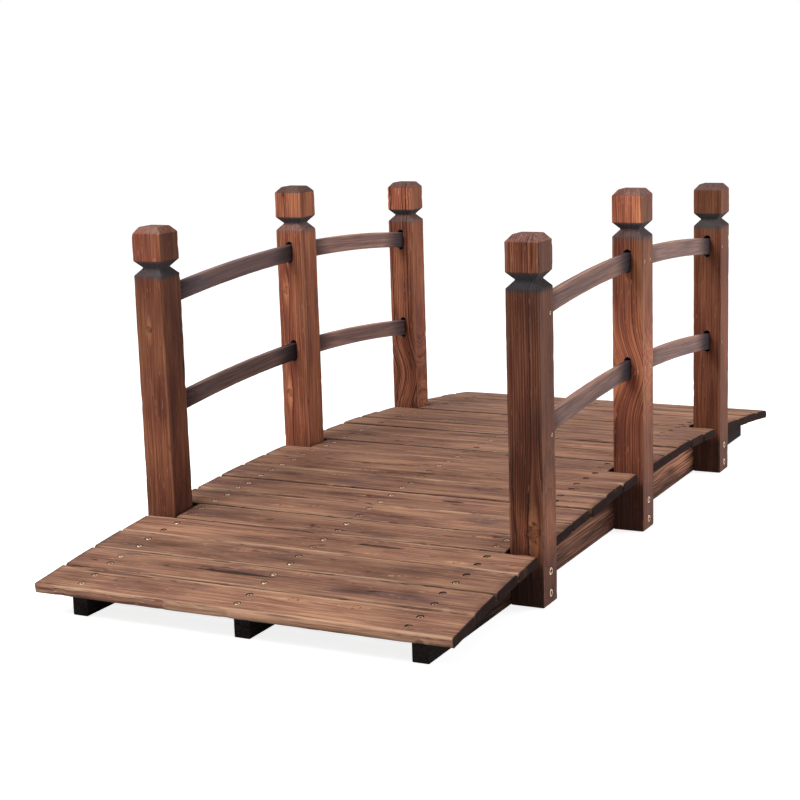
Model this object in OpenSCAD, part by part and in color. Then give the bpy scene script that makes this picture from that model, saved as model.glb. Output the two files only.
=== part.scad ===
// Small wooden moon bridge for a garden: a bowed deck of cross planks on three stringers,
// with six grooved posts and two arched rails in every bay of the sides.
// The origin is at the bottom centre, X runs along the bridge, Y points left and Z up. Sizes are in mm.

/* [Deck] */
// Length of the walking surface from end to end
deck_length = 1500; // [1300:10:1700]
// Height of the walking surface at mid-span
deck_crown = 99; // [90:1:120]
// How far the walking surface drops from mid-span to its ends
deck_rise = 50; // [35:1:60]
// How far a full plank reaches past the outside of an outer stringer
deck_overhang = 47; // [20:1:50]
// Thickness of a plank
plank_thickness = 14; // [10:0.5:20]
// Radius of the eased long edges of a plank
plank_edge_radius = 1.5; // [0.5:0.5:4]
// Open joint between two planks
plank_gap = 1; // [0.5:0.5:5]
// Gap between the end of a shortened plank and the post beside it
plank_post_gap = 3; // [1:0.5:8]

/* [Stringers] */
// Distance from the centre line to the outside of an outer stringer, where the posts are fixed
stringer_reach = 283; // [240:1:320]
// Thickness of a stringer
stringer_thickness = 25; // [18:1:40]
// How far a stringer stops short of the end of the deck
stringer_setback = 27; // [10:1:60]

/* [Posts] */
// Side of a square post
post_width = 51; // [44:1:60]
// Height of an end post
end_post_height = 528; // [480:1:620]
// How much taller a middle post is, which is also how far the rails drop towards the ends
middle_post_rise = 26; // [10:1:40]
// Height of the groove under a post's cap
groove_height = 22.5; // [12:0.5:30]
// Depth of that groove at its root
groove_depth = 10.5; // [5:0.5:14]
// Height of a cap's upright sides
cap_height = 42; // [25:1:55]
// Height of the chamfer on top of a cap
cap_chamfer_height = 10; // [4:1:16]
// How far that chamfer comes in from the side
cap_chamfer_inset = 8.5; // [4:0.5:14]

/* [Rails] */
// Distance from the top of the posts down to the upper rails' middle line
upper_rail_depth = 114; // [105:1:150]
// Distance from the top of the posts down to the lower rails' middle line
lower_rail_depth = 287; // [220:1:320]
// Width of a rail board from its top edge to its bottom edge
rail_width = 29; // [20:1:45]
// Thickness of a rail
rail_thickness = 11.5; // [8:0.5:18]
// Radius of the eased long edges of a rail
rail_edge_radius = 2.5; // [0.5:0.5:3.5]
// Depth of the mortise that takes a rail's end
mortise_depth = 18; // [10:1:22]
// Room in a mortise at each side of the rail
mortise_side_gap = 0.25; // [0.1:0.05:1]
// How much more room a mortise has above the rail than under it
mortise_headroom = 2.5; // [0:0.5:6]

/* [Hidden] */
$fn = 96;
// The long arcs of the rails need a finer division than the small rounds.
rail_arc_fn = 720;
// The planks at the posts are cut short, so that the posts can stand against the outer stringers.
plank_count = 21;
middle_plank = 11;
post_plank_step = 6;

// Walking surface: planks lie flat between an arc's chords, all turned about the arc's centre.
arc_radius = (pow(deck_length / 2, 2) + pow(deck_rise, 2)) / (2 * deck_rise);
arc_centre_z = deck_crown - arc_radius;
plank_angle = 2 * asin((deck_length + plank_gap) / 2 / arc_radius) / plank_count;
plank_width = 2 * arc_radius * tan(plank_angle / 2) - plank_gap;
seat_radius = arc_radius - plank_thickness;
full_plank_length = 2 * (stringer_reach + deck_overhang);
short_plank_length = 2 * (stringer_reach - plank_post_gap);

stringer_end = deck_length / 2 - stringer_setback;
outer_stringer_y = stringer_reach - stringer_thickness / 2;

post_spacing = arc_radius * sin(post_plank_step * plank_angle);
post_y = stringer_reach + post_width / 2;

middle_post_height = end_post_height + middle_post_rise;

rail_radius = (pow(post_spacing, 2) + pow(middle_post_rise, 2)) / (2 * middle_post_rise);
rail_start = post_width / 2 - mortise_depth;
rail_end = post_spacing - post_width / 2 + mortise_depth;
mortise_width = rail_thickness + 2 * mortise_side_gap;
// Room under a rail, where its eased edges clear the round end of the mortise by half the side gap.
rail_flat_half = rail_thickness / 2 - rail_edge_radius;
mortise_bottom_gap = rail_flat_half + mortise_side_gap
    - sqrt(rail_flat_half * mortise_side_gap + pow(mortise_side_gap / 2, 2));
cut_slack = 1;

STRINGERS = ["left", "centre", "right"];
SIDES = ["left", "right"];
PLACES = ["front", "middle", "back"];
BAYS = ["front", "back"];
LEVELS = ["lower", "upper"];

function side_sign(side) = side == "left" ? 1 : -1;
function end_sign(place) = place == "front" ? -1 : place == "back" ? 1 : 0;
function plank_name(i) = str("plank_", i < 10 ? "0" : "", i);
function stringer_name(place) = str("stringer_", place);
function post_name(side, place) = str("post_", side, "_", place);
function rail_name(side, bay, level) = str("rail_", side, "_", bay, "_", level);

// A plank is short where posts stand at its ends.
function is_short(i) = abs(i - middle_plank) % post_plank_step == 0 && abs(i - middle_plank) <= post_plank_step;
// Height of the flat seat under an end plank, measured at the end of a stringer.
function end_seat_z(turn) = arc_centre_z + (seat_radius - stringer_end * sin(turn)) / cos(turn);
// Height of a rail's middle line at a distance x from mid-span.
function rail_z(level, x) =
    middle_post_height - (level == "upper" ? upper_rail_depth : lower_rail_depth)
    - rail_radius + sqrt(pow(rail_radius, 2) - pow(x, 2));
// Slope of a rail at a distance x from mid-span.
function rail_slope(x) = asin(abs(x) / rail_radius);

// Side view of a stringer: level underneath, with one flat seat on top for every plank.
module stringer_outline() {
    half_count = (plank_count - 1) / 2;
    seat_corner = seat_radius / cos(plank_angle / 2);
    seats = [for (k = [-half_count : half_count - 1])
        let (turn = (k + 0.5) * plank_angle)
        [seat_corner * sin(turn), arc_centre_z + seat_corner * cos(turn)]];
    end_z = end_seat_z(half_count * plank_angle);
    polygon(concat(
        [[stringer_end, 0], [-stringer_end, 0], [-stringer_end, end_z]],
        seats,
        [[stringer_end, end_z]]
    ));
}

// Board that carries the planks; the two outer ones carry the posts as well.
module stringer(place) {
    y = place == "centre" ? 0 : side_sign(place) * outer_stringer_y;
    color([0.22, 0.13, 0.10])
        translate([0, y + stringer_thickness / 2, 0])
            rotate([90, 0, 0])
                linear_extrude(stringer_thickness)
                    stringer_outline();
}

// Section of a board with eased edges, about its middle.
module eased_section(width, thickness, edge_radius) {
    inner_width = width - 2 * edge_radius;
    inner_thickness = thickness - 2 * edge_radius;
    square([width, inner_thickness], center = true);
    square([inner_width, thickness], center = true);
    for (side = [-1, 1], level = [-1, 1])
        translate([side * inner_width / 2, level * inner_thickness / 2])
            circle(r = edge_radius);
}

// Deck plank number i, counted from the front end.
module plank(i) {
    plank_length = is_short(i) ? short_plank_length : full_plank_length;
    color([0.45, 0.30, 0.24])
        translate([0, 0, arc_centre_z])
            rotate([0, (i - middle_plank) * plank_angle, 0])
                translate([0, plank_length / 2, seat_radius + plank_thickness / 2])
                    rotate([90, 0, 0])
                        linear_extrude(plank_length)
                            eased_section(plank_width, plank_thickness, plank_edge_radius);
}

// Outline of a post seen from any side: shaft, groove, cap and chamfered top.
module post_outline(post_height) {
    half = post_width / 2;
    cap_top = post_height - cap_chamfer_height;
    cap_bottom = cap_top - cap_height;
    right_side = [
        [half, 0],
        [half, cap_bottom - groove_height],
        [half - groove_depth, cap_bottom - groove_height / 2],
        [half, cap_bottom],
        [half, cap_top],
        [half - cap_chamfer_inset, post_height]
    ];
    last = len(right_side) - 1;
    left_side = [for (k = [last : -1 : 0]) [-right_side[k][0], right_side[k][1]]];
    polygon(concat(right_side, left_side));
}

// Square post with the same outline on all four sides.
module post_blank(post_height) {
    reach = post_width + 2 * cut_slack;
    intersection() {
        rotate([90, 0, 0])
            linear_extrude(reach, center = true)
                post_outline(post_height);
        rotate([90, 0, 90])
            linear_extrude(reach, center = true)
                post_outline(post_height);
    }
}

// Routed slot with round ends, open towards +X at the face of a post.
module mortise(slot_height) {
    straight = slot_height - mortise_width;
    translate([post_width / 2 - mortise_depth, 0, 0])
        rotate([90, 0, 90])
            linear_extrude(mortise_depth + cut_slack) {
                square([mortise_width, straight], center = true);
                for (end = [-1, 1])
                    translate([0, end * straight / 2])
                        circle(d = mortise_width);
            }
}

// Post with a mortise for each rail that ends in it.
module post(side, place) {
    end = end_sign(place);
    faces = end == 0 ? [-1, 1] : [-end];
    color([0.42, 0.23, 0.16])
        translate([end * post_spacing, side_sign(side) * post_y, 0])
            difference() {
                post_blank(end == 0 ? middle_post_height : end_post_height);
                for (face = faces, level = LEVELS) {
                    seat_x = end * post_spacing + face * (post_width - mortise_depth) / 2;
                    slope = rail_slope(seat_x);
                    rail_height = rail_width / cos(slope) + mortise_depth * tan(slope);
                    translate([0, 0, rail_z(level, seat_x) + mortise_headroom / 2])
                        rotate([0, 0, face > 0 ? 0 : 180])
                            mortise(rail_height + mortise_headroom + 2 * mortise_bottom_gap);
                }
            }
}

// Arched rail of one bay, part of a ring; its ends meet the bottoms of the mortises.
module rail(side, bay, level) {
    end = end_sign(bay);
    rail_length = rail_end - rail_start;
    color([0.36, 0.24, 0.21])
        translate([0, side_sign(side) * post_y, 0])
            intersection() {
                translate([0, 0, rail_z(level, 0) - rail_radius])
                    rotate([90, 0, 0])
                        rotate_extrude($fn = rail_arc_fn)
                            translate([rail_radius, 0])
                                eased_section(rail_width, rail_thickness, rail_edge_radius);
                translate([end > 0 ? rail_start : -rail_end, -rail_thickness, 0])
                    cube([rail_length, 2 * rail_thickness, rail_z(level, 0) + rail_width]);
            }
}

for (place = STRINGERS)
    stringer(place);
for (i = [1 : plank_count])
    plank(i);
for (side = SIDES, place = PLACES)
    post(side, place);
for (side = SIDES, bay = BAYS, level = LEVELS)
    rail(side, bay, level);
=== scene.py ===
"""Looks of a small garden moon bridge in stained and scorched softwood.

Every board is a rounded section carried along its length, with its screw holes and mortises sunk in as
real shape. Its wood is a solid pattern of growth rings round the board's own pith, so that the faces,
arrises and ends of one board agree with each other. Lengths are in metres.
"""
import logging
import math
from abc import ABC, abstractmethod
from dataclasses import dataclass, field, replace
from enum import Enum
from typing import Iterable, Sequence

import bmesh
import bpy
import numpy as np
from mathutils import Matrix, Vector


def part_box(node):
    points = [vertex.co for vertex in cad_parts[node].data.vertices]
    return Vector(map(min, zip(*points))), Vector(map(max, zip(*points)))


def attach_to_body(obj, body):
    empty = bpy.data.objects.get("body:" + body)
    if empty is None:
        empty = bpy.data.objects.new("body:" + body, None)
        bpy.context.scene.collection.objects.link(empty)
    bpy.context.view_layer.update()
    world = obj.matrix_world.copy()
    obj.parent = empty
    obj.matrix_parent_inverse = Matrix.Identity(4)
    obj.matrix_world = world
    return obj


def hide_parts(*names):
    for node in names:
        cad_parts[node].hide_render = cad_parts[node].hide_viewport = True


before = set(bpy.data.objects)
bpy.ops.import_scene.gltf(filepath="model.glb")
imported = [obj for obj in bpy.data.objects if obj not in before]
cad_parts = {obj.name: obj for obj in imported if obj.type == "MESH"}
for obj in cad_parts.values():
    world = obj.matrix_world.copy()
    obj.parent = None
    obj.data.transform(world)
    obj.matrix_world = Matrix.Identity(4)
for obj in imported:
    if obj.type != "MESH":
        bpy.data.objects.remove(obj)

Array = np.ndarray
Colour = tuple[float, float, float, float]
Socket = bpy.types.NodeSocket
Shaded = bpy.types.Material | bpy.types.World

LOG = logging.getLogger("moon_bridge")
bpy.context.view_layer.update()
BODY = "root"
MM = 0.001
MERGE_DISTANCE = 0.004 * MM
# Range of the seeds that boards draw, and how many boards the seed of one kind has room for.
SEED_RANGE = (1, 9999)
SEED_STEP = 1000
SHARP_ANGLE = math.radians(42)
KNOT_NAMES = ("knot_1", "knot_2", "knot_3")
CRACK_NAME = "crack"
# A mark that lies off every board and is too small to show.
NO_MARK = (0.0, 0.0, 0.01 * MM)
# Grid places nearer to each other than this become one, after rounding to whole micrometres.
NEAREST_PLACES = 0.25 * MM
PLACE_DIGITS = 6
# Grid places at an eased end, in radii of the easing.
EASE_STEPS = np.array([0, 0.12, 0.4, 1, 3])
# Sizes of the rings that close a board's end, in to its middle.
END_RINGS = np.array([0.86, 0.45, 0.0])[:, None]
# How far the rings between a hole's block and its lip have come in.
BLEND_SHARES = (0.5, 0.85)
# Inputs of a mix node for the share and the two colours, and its output for the colour.
MIX_INPUTS = (0, 6, 7)
MIX_OUTPUT = 2


def screen_colour(red: float, green: float, blue: float) -> Colour:
    """Turns screen values into the linear values that shaders use.

    Args:
        red, green, blue: screen values from 0 to 255.

    Returns:
        The linear colour, opaque.
    """
    share = np.array((red, green, blue)) / 255
    linear = np.where(share <= 0.04045, share / 12.92, ((share + 0.055) / 1.055) ** 2.4)
    return (*linear.tolist(), 1.0)


def fill_steps(marks: Iterable[float], step: float) -> Array:
    """Sorts marks and adds even steps wherever two neighbours lie further apart than a step.

    Args:
        marks: places that the result has to hold; those that nearly coincide become one.
        step: the longest step allowed.

    Returns:
        The places in rising order.
    """
    places = np.unique(np.round(np.fromiter(marks, float), PLACE_DIGITS))
    places = places[np.append(True, np.diff(places) > NEAREST_PLACES)]
    counts = np.ceil(np.diff(places) / step).astype(int)
    spans = [np.linspace(a, b, n, endpoint=False) for a, b, n in zip(places, places[1:], counts)]
    return np.append(np.concatenate(spans), places[-1])


def smooth_step(low: float, high: float, value: Array) -> Array:
    """Rises from 0 at low to 1 at high along 3x^2 - 2x^3, with low above high for a fall."""
    share = np.clip((value - low) / (high - low), 0, 1)
    return share * share * (3 - 2 * share)


@dataclass(frozen=True)
class Fade:
    """Level that comes in smoothly between two places: none of it at the first, all of it at the second."""

    level: float
    none: float
    full: float

    def at(self, place: Array) -> Array:
        """Level at each place, along the curve of smooth_step."""
        return self.level * smooth_step(self.none, self.full, place)


@dataclass(frozen=True)
class Uneven:
    """Uneven size along a board: a base, slow random waves, and bites where splinters have come away.

    The bites lie anywhere within reach of the board's middle, and most of them are small.
    """

    base: float
    wave: float = 0.0
    bite: float = 0.0
    seed: int = 0
    wavelengths: tuple[float, ...] = (0.29, 0.11, 0.043)
    bites: int = 40
    bite_length: float = 8 * MM
    shortest_bite: float = 0.3
    reach: float = 0.6

    def at(self, t: Array) -> Array:
        """Adds the waves and the bites to the base.

        Args:
            t: places along the board.

        Returns:
            base + wave x the mean of the sines + bite x the highest bell curve at each place.
        """
        draw = np.random.default_rng(self.seed)
        phases = draw.uniform(0, 2 * math.pi, len(self.wavelengths))
        waves = np.sin(2 * math.pi * np.divide.outer(t, np.array(self.wavelengths)) + phases).mean(axis=-1)
        places = draw.uniform(-self.reach, self.reach, self.bites)
        sizes = draw.uniform(0, 1, self.bites) ** 3
        spans = draw.uniform(self.shortest_bite, 1, self.bites) * self.bite_length
        bells = sizes * np.exp(-np.square(np.subtract.outer(t, places) / spans))
        return self.base + self.wave * waves + self.bite * bells.max(axis=-1)


@dataclass(frozen=True)
class Bow:
    """Arc of a circle seen from the side, through its crown at mid-span and its two ends."""

    half_span: float
    rise: float
    crown: float

    @property
    def radius(self) -> float:
        """Radius of the circle from its half chord and rise."""
        return (self.half_span ** 2 + self.rise ** 2) / (2 * self.rise)

    def height(self, x: Array) -> Array:
        """Height of the arc at a distance x from mid-span."""
        return self.crown - self.radius + np.sqrt(self.radius ** 2 - np.square(x))

    def slope(self, x: Array) -> Array:
        """Angle of the arc's slope at a distance x from mid-span, without its sign."""
        return np.arcsin(np.abs(x) / self.radius)


class Side(Enum):
    """Sides of a board's section, in the order in which the loop round it runs."""

    Q_LOW = 0
    P_HIGH = 1
    Q_HIGH = 2
    P_LOW = 3


@dataclass(frozen=True)
class Hole:
    """Round hole, or slot with round ends, sunk square into one side of a board.

    across runs from the middle of the side the way the section's loop does, and along is the place on the
    board. slot is half the straight stretch of a slot, mouth the width and the depth of the rounded lip, and
    floor_share the size of the floor beside the wall's top. The hole is cut from a block of the side's grid,
    whose half sizes are block and which has as many parts each way as parts says. burn is how dark its
    inside is painted, as shade. A head above 0 is the radius of the screw head in it, whose top lies sink
    under the skin.
    """

    side: Side
    across: float
    along: float
    radius: float
    depth: float
    slot: float = 0.0
    mouth: tuple[float, float] = (0.4 * MM, 0.4 * MM)
    floor_share: float = 1.0
    block: tuple[float, float] = (8 * MM, 8 * MM)
    parts: int = 6
    hollow_shade: float = 0.9
    head: float = 0.0
    sink: float = 0.0
    lip_rings: int = 4

    def rings(self) -> list[tuple[float, float]]:
        """Sets out the rings of a quarter-round lip, the wall and the floor in to its middle.

        Returns:
            Radius and depth of each ring.
        """
        turns = np.linspace(0, math.pi / 2, self.lip_rings)
        width, depth = self.mouth
        lip = zip(self.radius + width * (1 - np.sin(turns)), depth * (1 - np.cos(turns)))
        base = self.radius * self.floor_share
        return [*lip, (base, self.depth), (base / 2, self.depth), (0.0, self.depth)]

    def block_places(self, middle: float, way: int) -> list[float]:
        """Even grid places through the hole's block about its middle: way 0 is across and way 1 along."""
        reach = self.block[way]
        return np.linspace(middle - reach, middle + reach, self.parts + 1).tolist()


@dataclass(frozen=True)
class Mark:
    """Knot or crack that goes straight through a board along p or along q.

    along is its place on the board and aside its place across, on the axis that it doesn't follow. size is
    a knot's radius or half a crack's length.
    """

    along: float
    aside: float
    size: float
    follows_p: bool = False


@dataclass(frozen=True)
class Grain:
    """How a board was sawn from its log and stained.

    pith is the log's middle in the board's section, shift keeps boards from sharing a pattern, tone scales
    the colour, stripe the ring lines and film the grey film on the skin.
    """

    pith: tuple[float, float]
    shift: float
    tone: float = 1.0
    stripe: float = 1.0
    film: float = 1.0
    knots: tuple[Mark, ...] = ()
    crack: Mark | None = None

    def value(self, mark: Mark) -> tuple[float, float, float]:
        """A mark's place along and across the grain and its size, below 0 for a mark that follows p."""
        pith, way = (self.pith[1], -1) if mark.follows_p else (self.pith[0], 1)
        return mark.along + self.shift, mark.aside - pith, way * mark.size

    def values(self) -> dict[str, tuple[float, float, float]]:
        """Sets out the knots and the crack by the names of their attributes.

        Returns:
            Values of each mark, filled up with marks that don't show.
        """
        values = dict.fromkeys((*KNOT_NAMES, CRACK_NAME), NO_MARK)
        values.update(zip(KNOT_NAMES, map(self.value, self.knots)))
        if self.crack:
            values[CRACK_NAME] = self.value(self.crack)
        return values


@dataclass(frozen=True)
class Section:
    """Sides of a board's section at each of many places along it, and its corner radii.

    The radii are four rows, for the corners at low p and q, at high p and low q, at high p and q, and at low
    p and high q.
    """

    p_low: Array
    p_high: Array
    q_low: Array
    q_high: Array
    radii: Array

    def inset(self, amount: Array) -> "Section":
        """The same sections with every side moved inwards."""
        p_low, p_high = self.p_low + amount, self.p_high - amount
        return Section(p_low, p_high, self.q_low + amount, self.q_high - amount, self.radii)

    def corners(self) -> tuple[Array, Array]:
        """Finds the middles of the corners.

        Returns:
            p and q of each, as rows like the radii.
        """
        r = self.radii
        p = np.stack([self.p_low + r[0], self.p_high - r[1], self.p_high - r[2], self.p_low + r[3]])
        q = np.stack([self.q_low + r[0], self.q_low + r[1], self.q_high - r[2], self.q_high - r[3]])
        return p, q


def panel(s: Array, t: Array, holes: Sequence[tuple[Hole, float]]) -> tuple[Array, Array, Array]:
    """Grid over the skin of a board, with each hole's block cut out and filled by rings down into the hole.

    A ring's points lie on straight lines from the block's border to the nearest point of the hole's spine,
    so that square blocks blend into round holes and slots.

    Args:
        s: places round the section.
        t: places along the board.
        holes: each hole with the place of its middle on s.

    Returns:
        Points as rows of s, t, depth and burn, the painted shade inside a hole; the quads; and the grid's
        point numbers by s and t.
    """
    index = np.arange(len(s) * len(t)).reshape(len(s), len(t))
    grid = np.stack(np.meshgrid(s, t, indexing="ij"), axis=-1).reshape(-1, 2)
    points = [np.hstack([grid, np.zeros((len(grid), 2))])]
    cells = np.stack([index[:-1, :-1], index[1:, :-1], index[1:, 1:], index[:-1, 1:]], axis=-1)
    kept = np.ones(cells.shape[:2], bool)
    quads = []
    total = len(grid)
    for hole, middle in holes:
        i0, i1 = (int(np.abs(s - (middle + way * hole.block[0])).argmin()) for way in (-1, 1))
        j0, j1 = (int(np.abs(t - (hole.along + way * hole.block[1])).argmin()) for way in (-1, 1))
        kept[i0:i1, j0:j1] = False
        border = np.concatenate(
            [index[i0:i1, j0], index[i1, j0:j1], index[i1:i0:-1, j1], index[i0, j1:j0:-1]]
        )
        reach = grid[border] - (middle, hole.along)
        spine = np.zeros_like(reach)
        spine[:, 1] = np.clip(reach[:, 1], -hole.slot, hole.slot)
        away = reach - spine
        gap = np.linalg.norm(away, axis=1, keepdims=True)
        away /= gap
        lip = hole.radius + hole.mouth[0]
        radii = [gap * (1 - share) + lip * share for share in BLEND_SHARES]
        depths = [0.0] * len(radii)
        for radius, depth in hole.rings():
            radii.append(np.full_like(gap, radius))
            depths.append(depth)
        rings = np.stack([(middle, hole.along) + spine + away * radius for radius in radii])
        depth = np.broadcast_to(np.array(depths)[:, None, None], (*rings.shape[:2], 1))
        # Painted shade: points inside the hole, below the skin, are marked dark.
        hollow_shade = hole.hollow_shade * (depth > 0)
        points.append(np.concatenate([rings, depth, hollow_shade], axis=-1).reshape(-1, 4))
        fresh = total + np.arange(rings.shape[0] * rings.shape[1]).reshape(rings.shape[:2])
        total += fresh.size
        loops = np.vstack([border, fresh])
        ahead = np.roll(loops, -1, axis=1)
        quads.append(np.stack([loops[:-1], ahead[:-1], ahead[1:], loops[1:]], axis=-1).reshape(-1, 4))
    return np.vstack(points), np.vstack([cells[kept], *quads]), index


@dataclass
class Board(ABC):
    """A sawn board: a rounded rectangular section carried along a line, with holes sunk in its sides.

    A point of its skin is given by s, how far round the section it lies, and t, how far along the board. The
    section lies in p and q, and p, q and t are right-handed. width and height are the section's nominal
    sizes along p and q, corner its nominal corner radius, arrises the real radii of its four long edges in
    the order of a section's corners, and end_ease the radius of the eased ends. step and cross_step are the
    longest steps of the grid along the board and across a side, edge_step the short one beside a corner and
    corner_steps the parts of a corner. wear_reach is how far from an arris the skin has worn, hole_shade how
    dark the insides of holes are painted as shade, and flat_softness how much fainter rings are where a side
    cuts them flat.
    """

    name: str
    node: str
    start: float
    end: float
    width: float
    height: float
    corner: float
    arrises: tuple[Uneven, Uneven, Uneven, Uneven]
    grain: Grain
    holes: list[Hole] = field(default_factory=list)
    end_ease: float = 1.0 * MM
    step: float = 14 * MM
    cross_step: float = 9 * MM
    edge_step: float = 1.5 * MM
    corner_steps: int = 4
    wear_reach: float = 2.2 * MM
    hole_shade: float = 0.75
    flat_softness: float = 0.65

    @abstractmethod
    def section(self, t: Array) -> Section:
        """Sections at the given places, before the ends are eased."""

    @abstractmethod
    def place(self, p: Array, q: Array, t: Array) -> Array:
        """Points of the board's own axes in the bridge's frame, as rows."""

    @abstractmethod
    def scorch(self, p: Array, q: Array, t: Array) -> Array:
        """How scorched the skin is at each point, from 0 to 1."""

    def shade(self, out_p: Array, out_q: Array, t: Array) -> Array:
        """Factor on the colour by the way a side faces, holding painted light and shade as well as
        differences in staining; plain boards have one colour all round.
        """
        return np.ones_like(t)

    def grain_place(self, p: Array, q: Array, t: Array) -> Array:
        """Place in the wood as rows: along the grain, and across it from the pith."""
        pith = self.grain.pith
        return np.column_stack([t + self.grain.shift, p - pith[0], q - pith[1]])

    def radii(self, t: Array) -> Array:
        """Radii of the four long edges as rows."""
        return np.stack([arris.at(t) for arris in self.arrises])

    def marks(self) -> list[float]:
        """Places along the board that the grid has to hold, apart from ends and holes."""
        return []

    def end_distance(self, t: Array) -> Array:
        """Distance from the nearer end of the board."""
        return np.minimum(t - self.start, self.end - t)

    def flats(self) -> Array:
        """Nominal lengths of the four flat sides between the corners."""
        sizes = np.array([self.width, self.height, self.width, self.height])
        return sizes - 2 * self.corner

    def leg_starts(self) -> Array:
        """Where each side and each corner starts on the loop round the section."""
        arcs = np.full(4, self.corner * math.pi / 2)
        return np.append(0, np.cumsum(np.column_stack([self.flats(), arcs]).ravel()))

    def hole_middle(self, hole: Hole) -> float:
        """Where a hole's middle lies on the loop round the section."""
        return self.leg_starts()[2 * hole.side.value] + self.flats()[hole.side.value] / 2 + hole.across

    def loop_places(self) -> Array:
        """Sets out the grid round the section: each flat with its holes' blocks, each corner in even turns.

        Returns:
            Places on the loop, in rising order.
        """
        starts = self.leg_starts()
        places = [starts[-1:]]
        for side, flat in zip(Side, self.flats()):
            marks = [0.0, flat]
            edge = min(self.edge_step, flat / 4)
            if flat > 8 * edge:
                marks += [edge, 3 * edge, flat - 3 * edge, flat - edge]
            for hole in self.holes:
                if hole.side is side:
                    marks += hole.block_places(flat / 2 + hole.across, 0)
            first, corner, after = starts[2 * side.value:2 * side.value + 3]
            turn = np.linspace(corner, after, self.corner_steps + 1)
            places += [first + fill_steps(marks, self.cross_step), turn[1:-1]]
        return np.sort(np.concatenate(places))

    def length_places(self) -> Array:
        """Sets out the grid along the board: its eased ends, its holes' blocks and its own marks.

        Returns:
            Places along the board, in rising order.
        """
        ease = self.end_ease * EASE_STEPS
        marks = [*(self.start + ease), *(self.end - ease), *self.marks()]
        for hole in self.holes:
            marks += hole.block_places(hole.along, 1)
        return fill_steps(marks, self.step)

    def eased_section(self, t: Array) -> Section:
        """Sections with a quarter-round drawn in at both ends."""
        ease, left = self.end_ease, np.clip(self.end_distance(t), 0, self.end_ease)
        return self.section(t).inset(ease - np.sqrt(np.maximum(ease ** 2 - (ease - left) ** 2, 0)))

    def locate(self, s: Array, t: Array, depth: Array) -> tuple[Array, Array, Array, Array, Array]:
        """Point of the skin, or under it: along a flat from corner to corner, and round a corner as an arc.

        Args:
            s: places round the section.
            t: places along the board.
            depth: depths under the skin.

        Returns:
            p and q of each point, the way out of the skin there in p and q, and the distance to the arris.
        """
        starts, flats = self.leg_starts(), self.flats()
        leg = np.clip(np.searchsorted(starts, s, side="right") - 1, 0, len(starts) - 2)
        side, on_arc = leg // 2, leg % 2 == 1
        local = s - starts[leg]
        share = np.where(on_arc, 1.0, local / flats[side])
        turn = np.where(on_arc, local / self.corner, 0.0)
        angle = (side - 1) * math.pi / 2 + turn
        section = self.eased_section(t)
        here, after = np.arange(len(s)), (side + 1) % 4
        rows = np.stack([*section.corners(), section.radii])
        corner_p, corner_q, radius = rows[:, side, here] * (1 - share) + rows[:, after, here] * share
        out_p, out_q = np.cos(angle), np.sin(angle)
        p = corner_p + (radius - depth) * out_p
        q = corner_q + (radius - depth) * out_q
        rim = np.where(on_arc, 0.0, np.minimum(local, flats[side] - local))
        return p, q, out_p, out_q, rim

    def seat(self, hole: Hole) -> tuple[Array, Array]:
        """Finds the seat of a screw's head from the skin and a point under it.

        Args:
            hole: the screw's hole.

        Returns:
            Where the top of the head lies, and the way out of the board there.
        """
        s, t = np.full(2, self.hole_middle(hole)), np.full(2, hole.along)
        p, q, *_ = self.locate(s, t, np.array([0.0, MM]))
        skin, under = self.place(p, q, t)
        out = (skin - under) / np.linalg.norm(skin - under)
        return skin - out * hole.sink, out

    def build(self) -> bpy.types.Object:
        """Makes the board: its skin as one grid with holes, closed at each end by rings in to the middle.

        Returns:
            The board's piece.
        """
        s, t = self.loop_places(), self.length_places()
        skin, quads, index = panel(s, t, [(hole, self.hole_middle(hole)) for hole in self.holes])
        p, q, out_p, out_q, rim = self.locate(skin[:, 0], skin[:, 1], skin[:, 2])
        columns = [p, q, skin[:, 1], skin[:, 3], out_p, out_q, rim]
        faces, total = [quads], len(p)
        for ring, flip in ((index[:, 0], True), (index[:, -1], False)):
            middle_p, middle_q = (p[ring].min() + p[ring].max()) / 2, (q[ring].min() + q[ring].max()) / 2
            cap_p = (middle_p + (p[ring] - middle_p) * END_RINGS).ravel()
            cap_q = (middle_q + (q[ring] - middle_q) * END_RINGS).ravel()
            flat = np.zeros(cap_p.size)
            cap_t = np.full(cap_p.size, skin[ring[0], 1])
            cap_rim = np.repeat((1 - END_RINGS) * min(self.width, self.height) / 2, len(ring))
            cap = (cap_p, cap_q, cap_t, flat, flat, flat, cap_rim)
            columns = [np.append(column, extra) for column, extra in zip(columns, cap)]
            rows = np.vstack([ring, total + np.arange(cap_p.size).reshape(len(END_RINGS), -1)])
            total += cap_p.size
            cells = np.stack([rows[:-1, :-1], rows[:-1, 1:], rows[1:, 1:], rows[1:, :-1]], axis=-1)
            faces.append((cells[..., ::-1] if flip else cells).reshape(-1, 4))
        points = self.place(*columns[:3])
        return mesh_object(self.name, points, np.vstack(faces), self.attributes(*columns))

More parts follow.
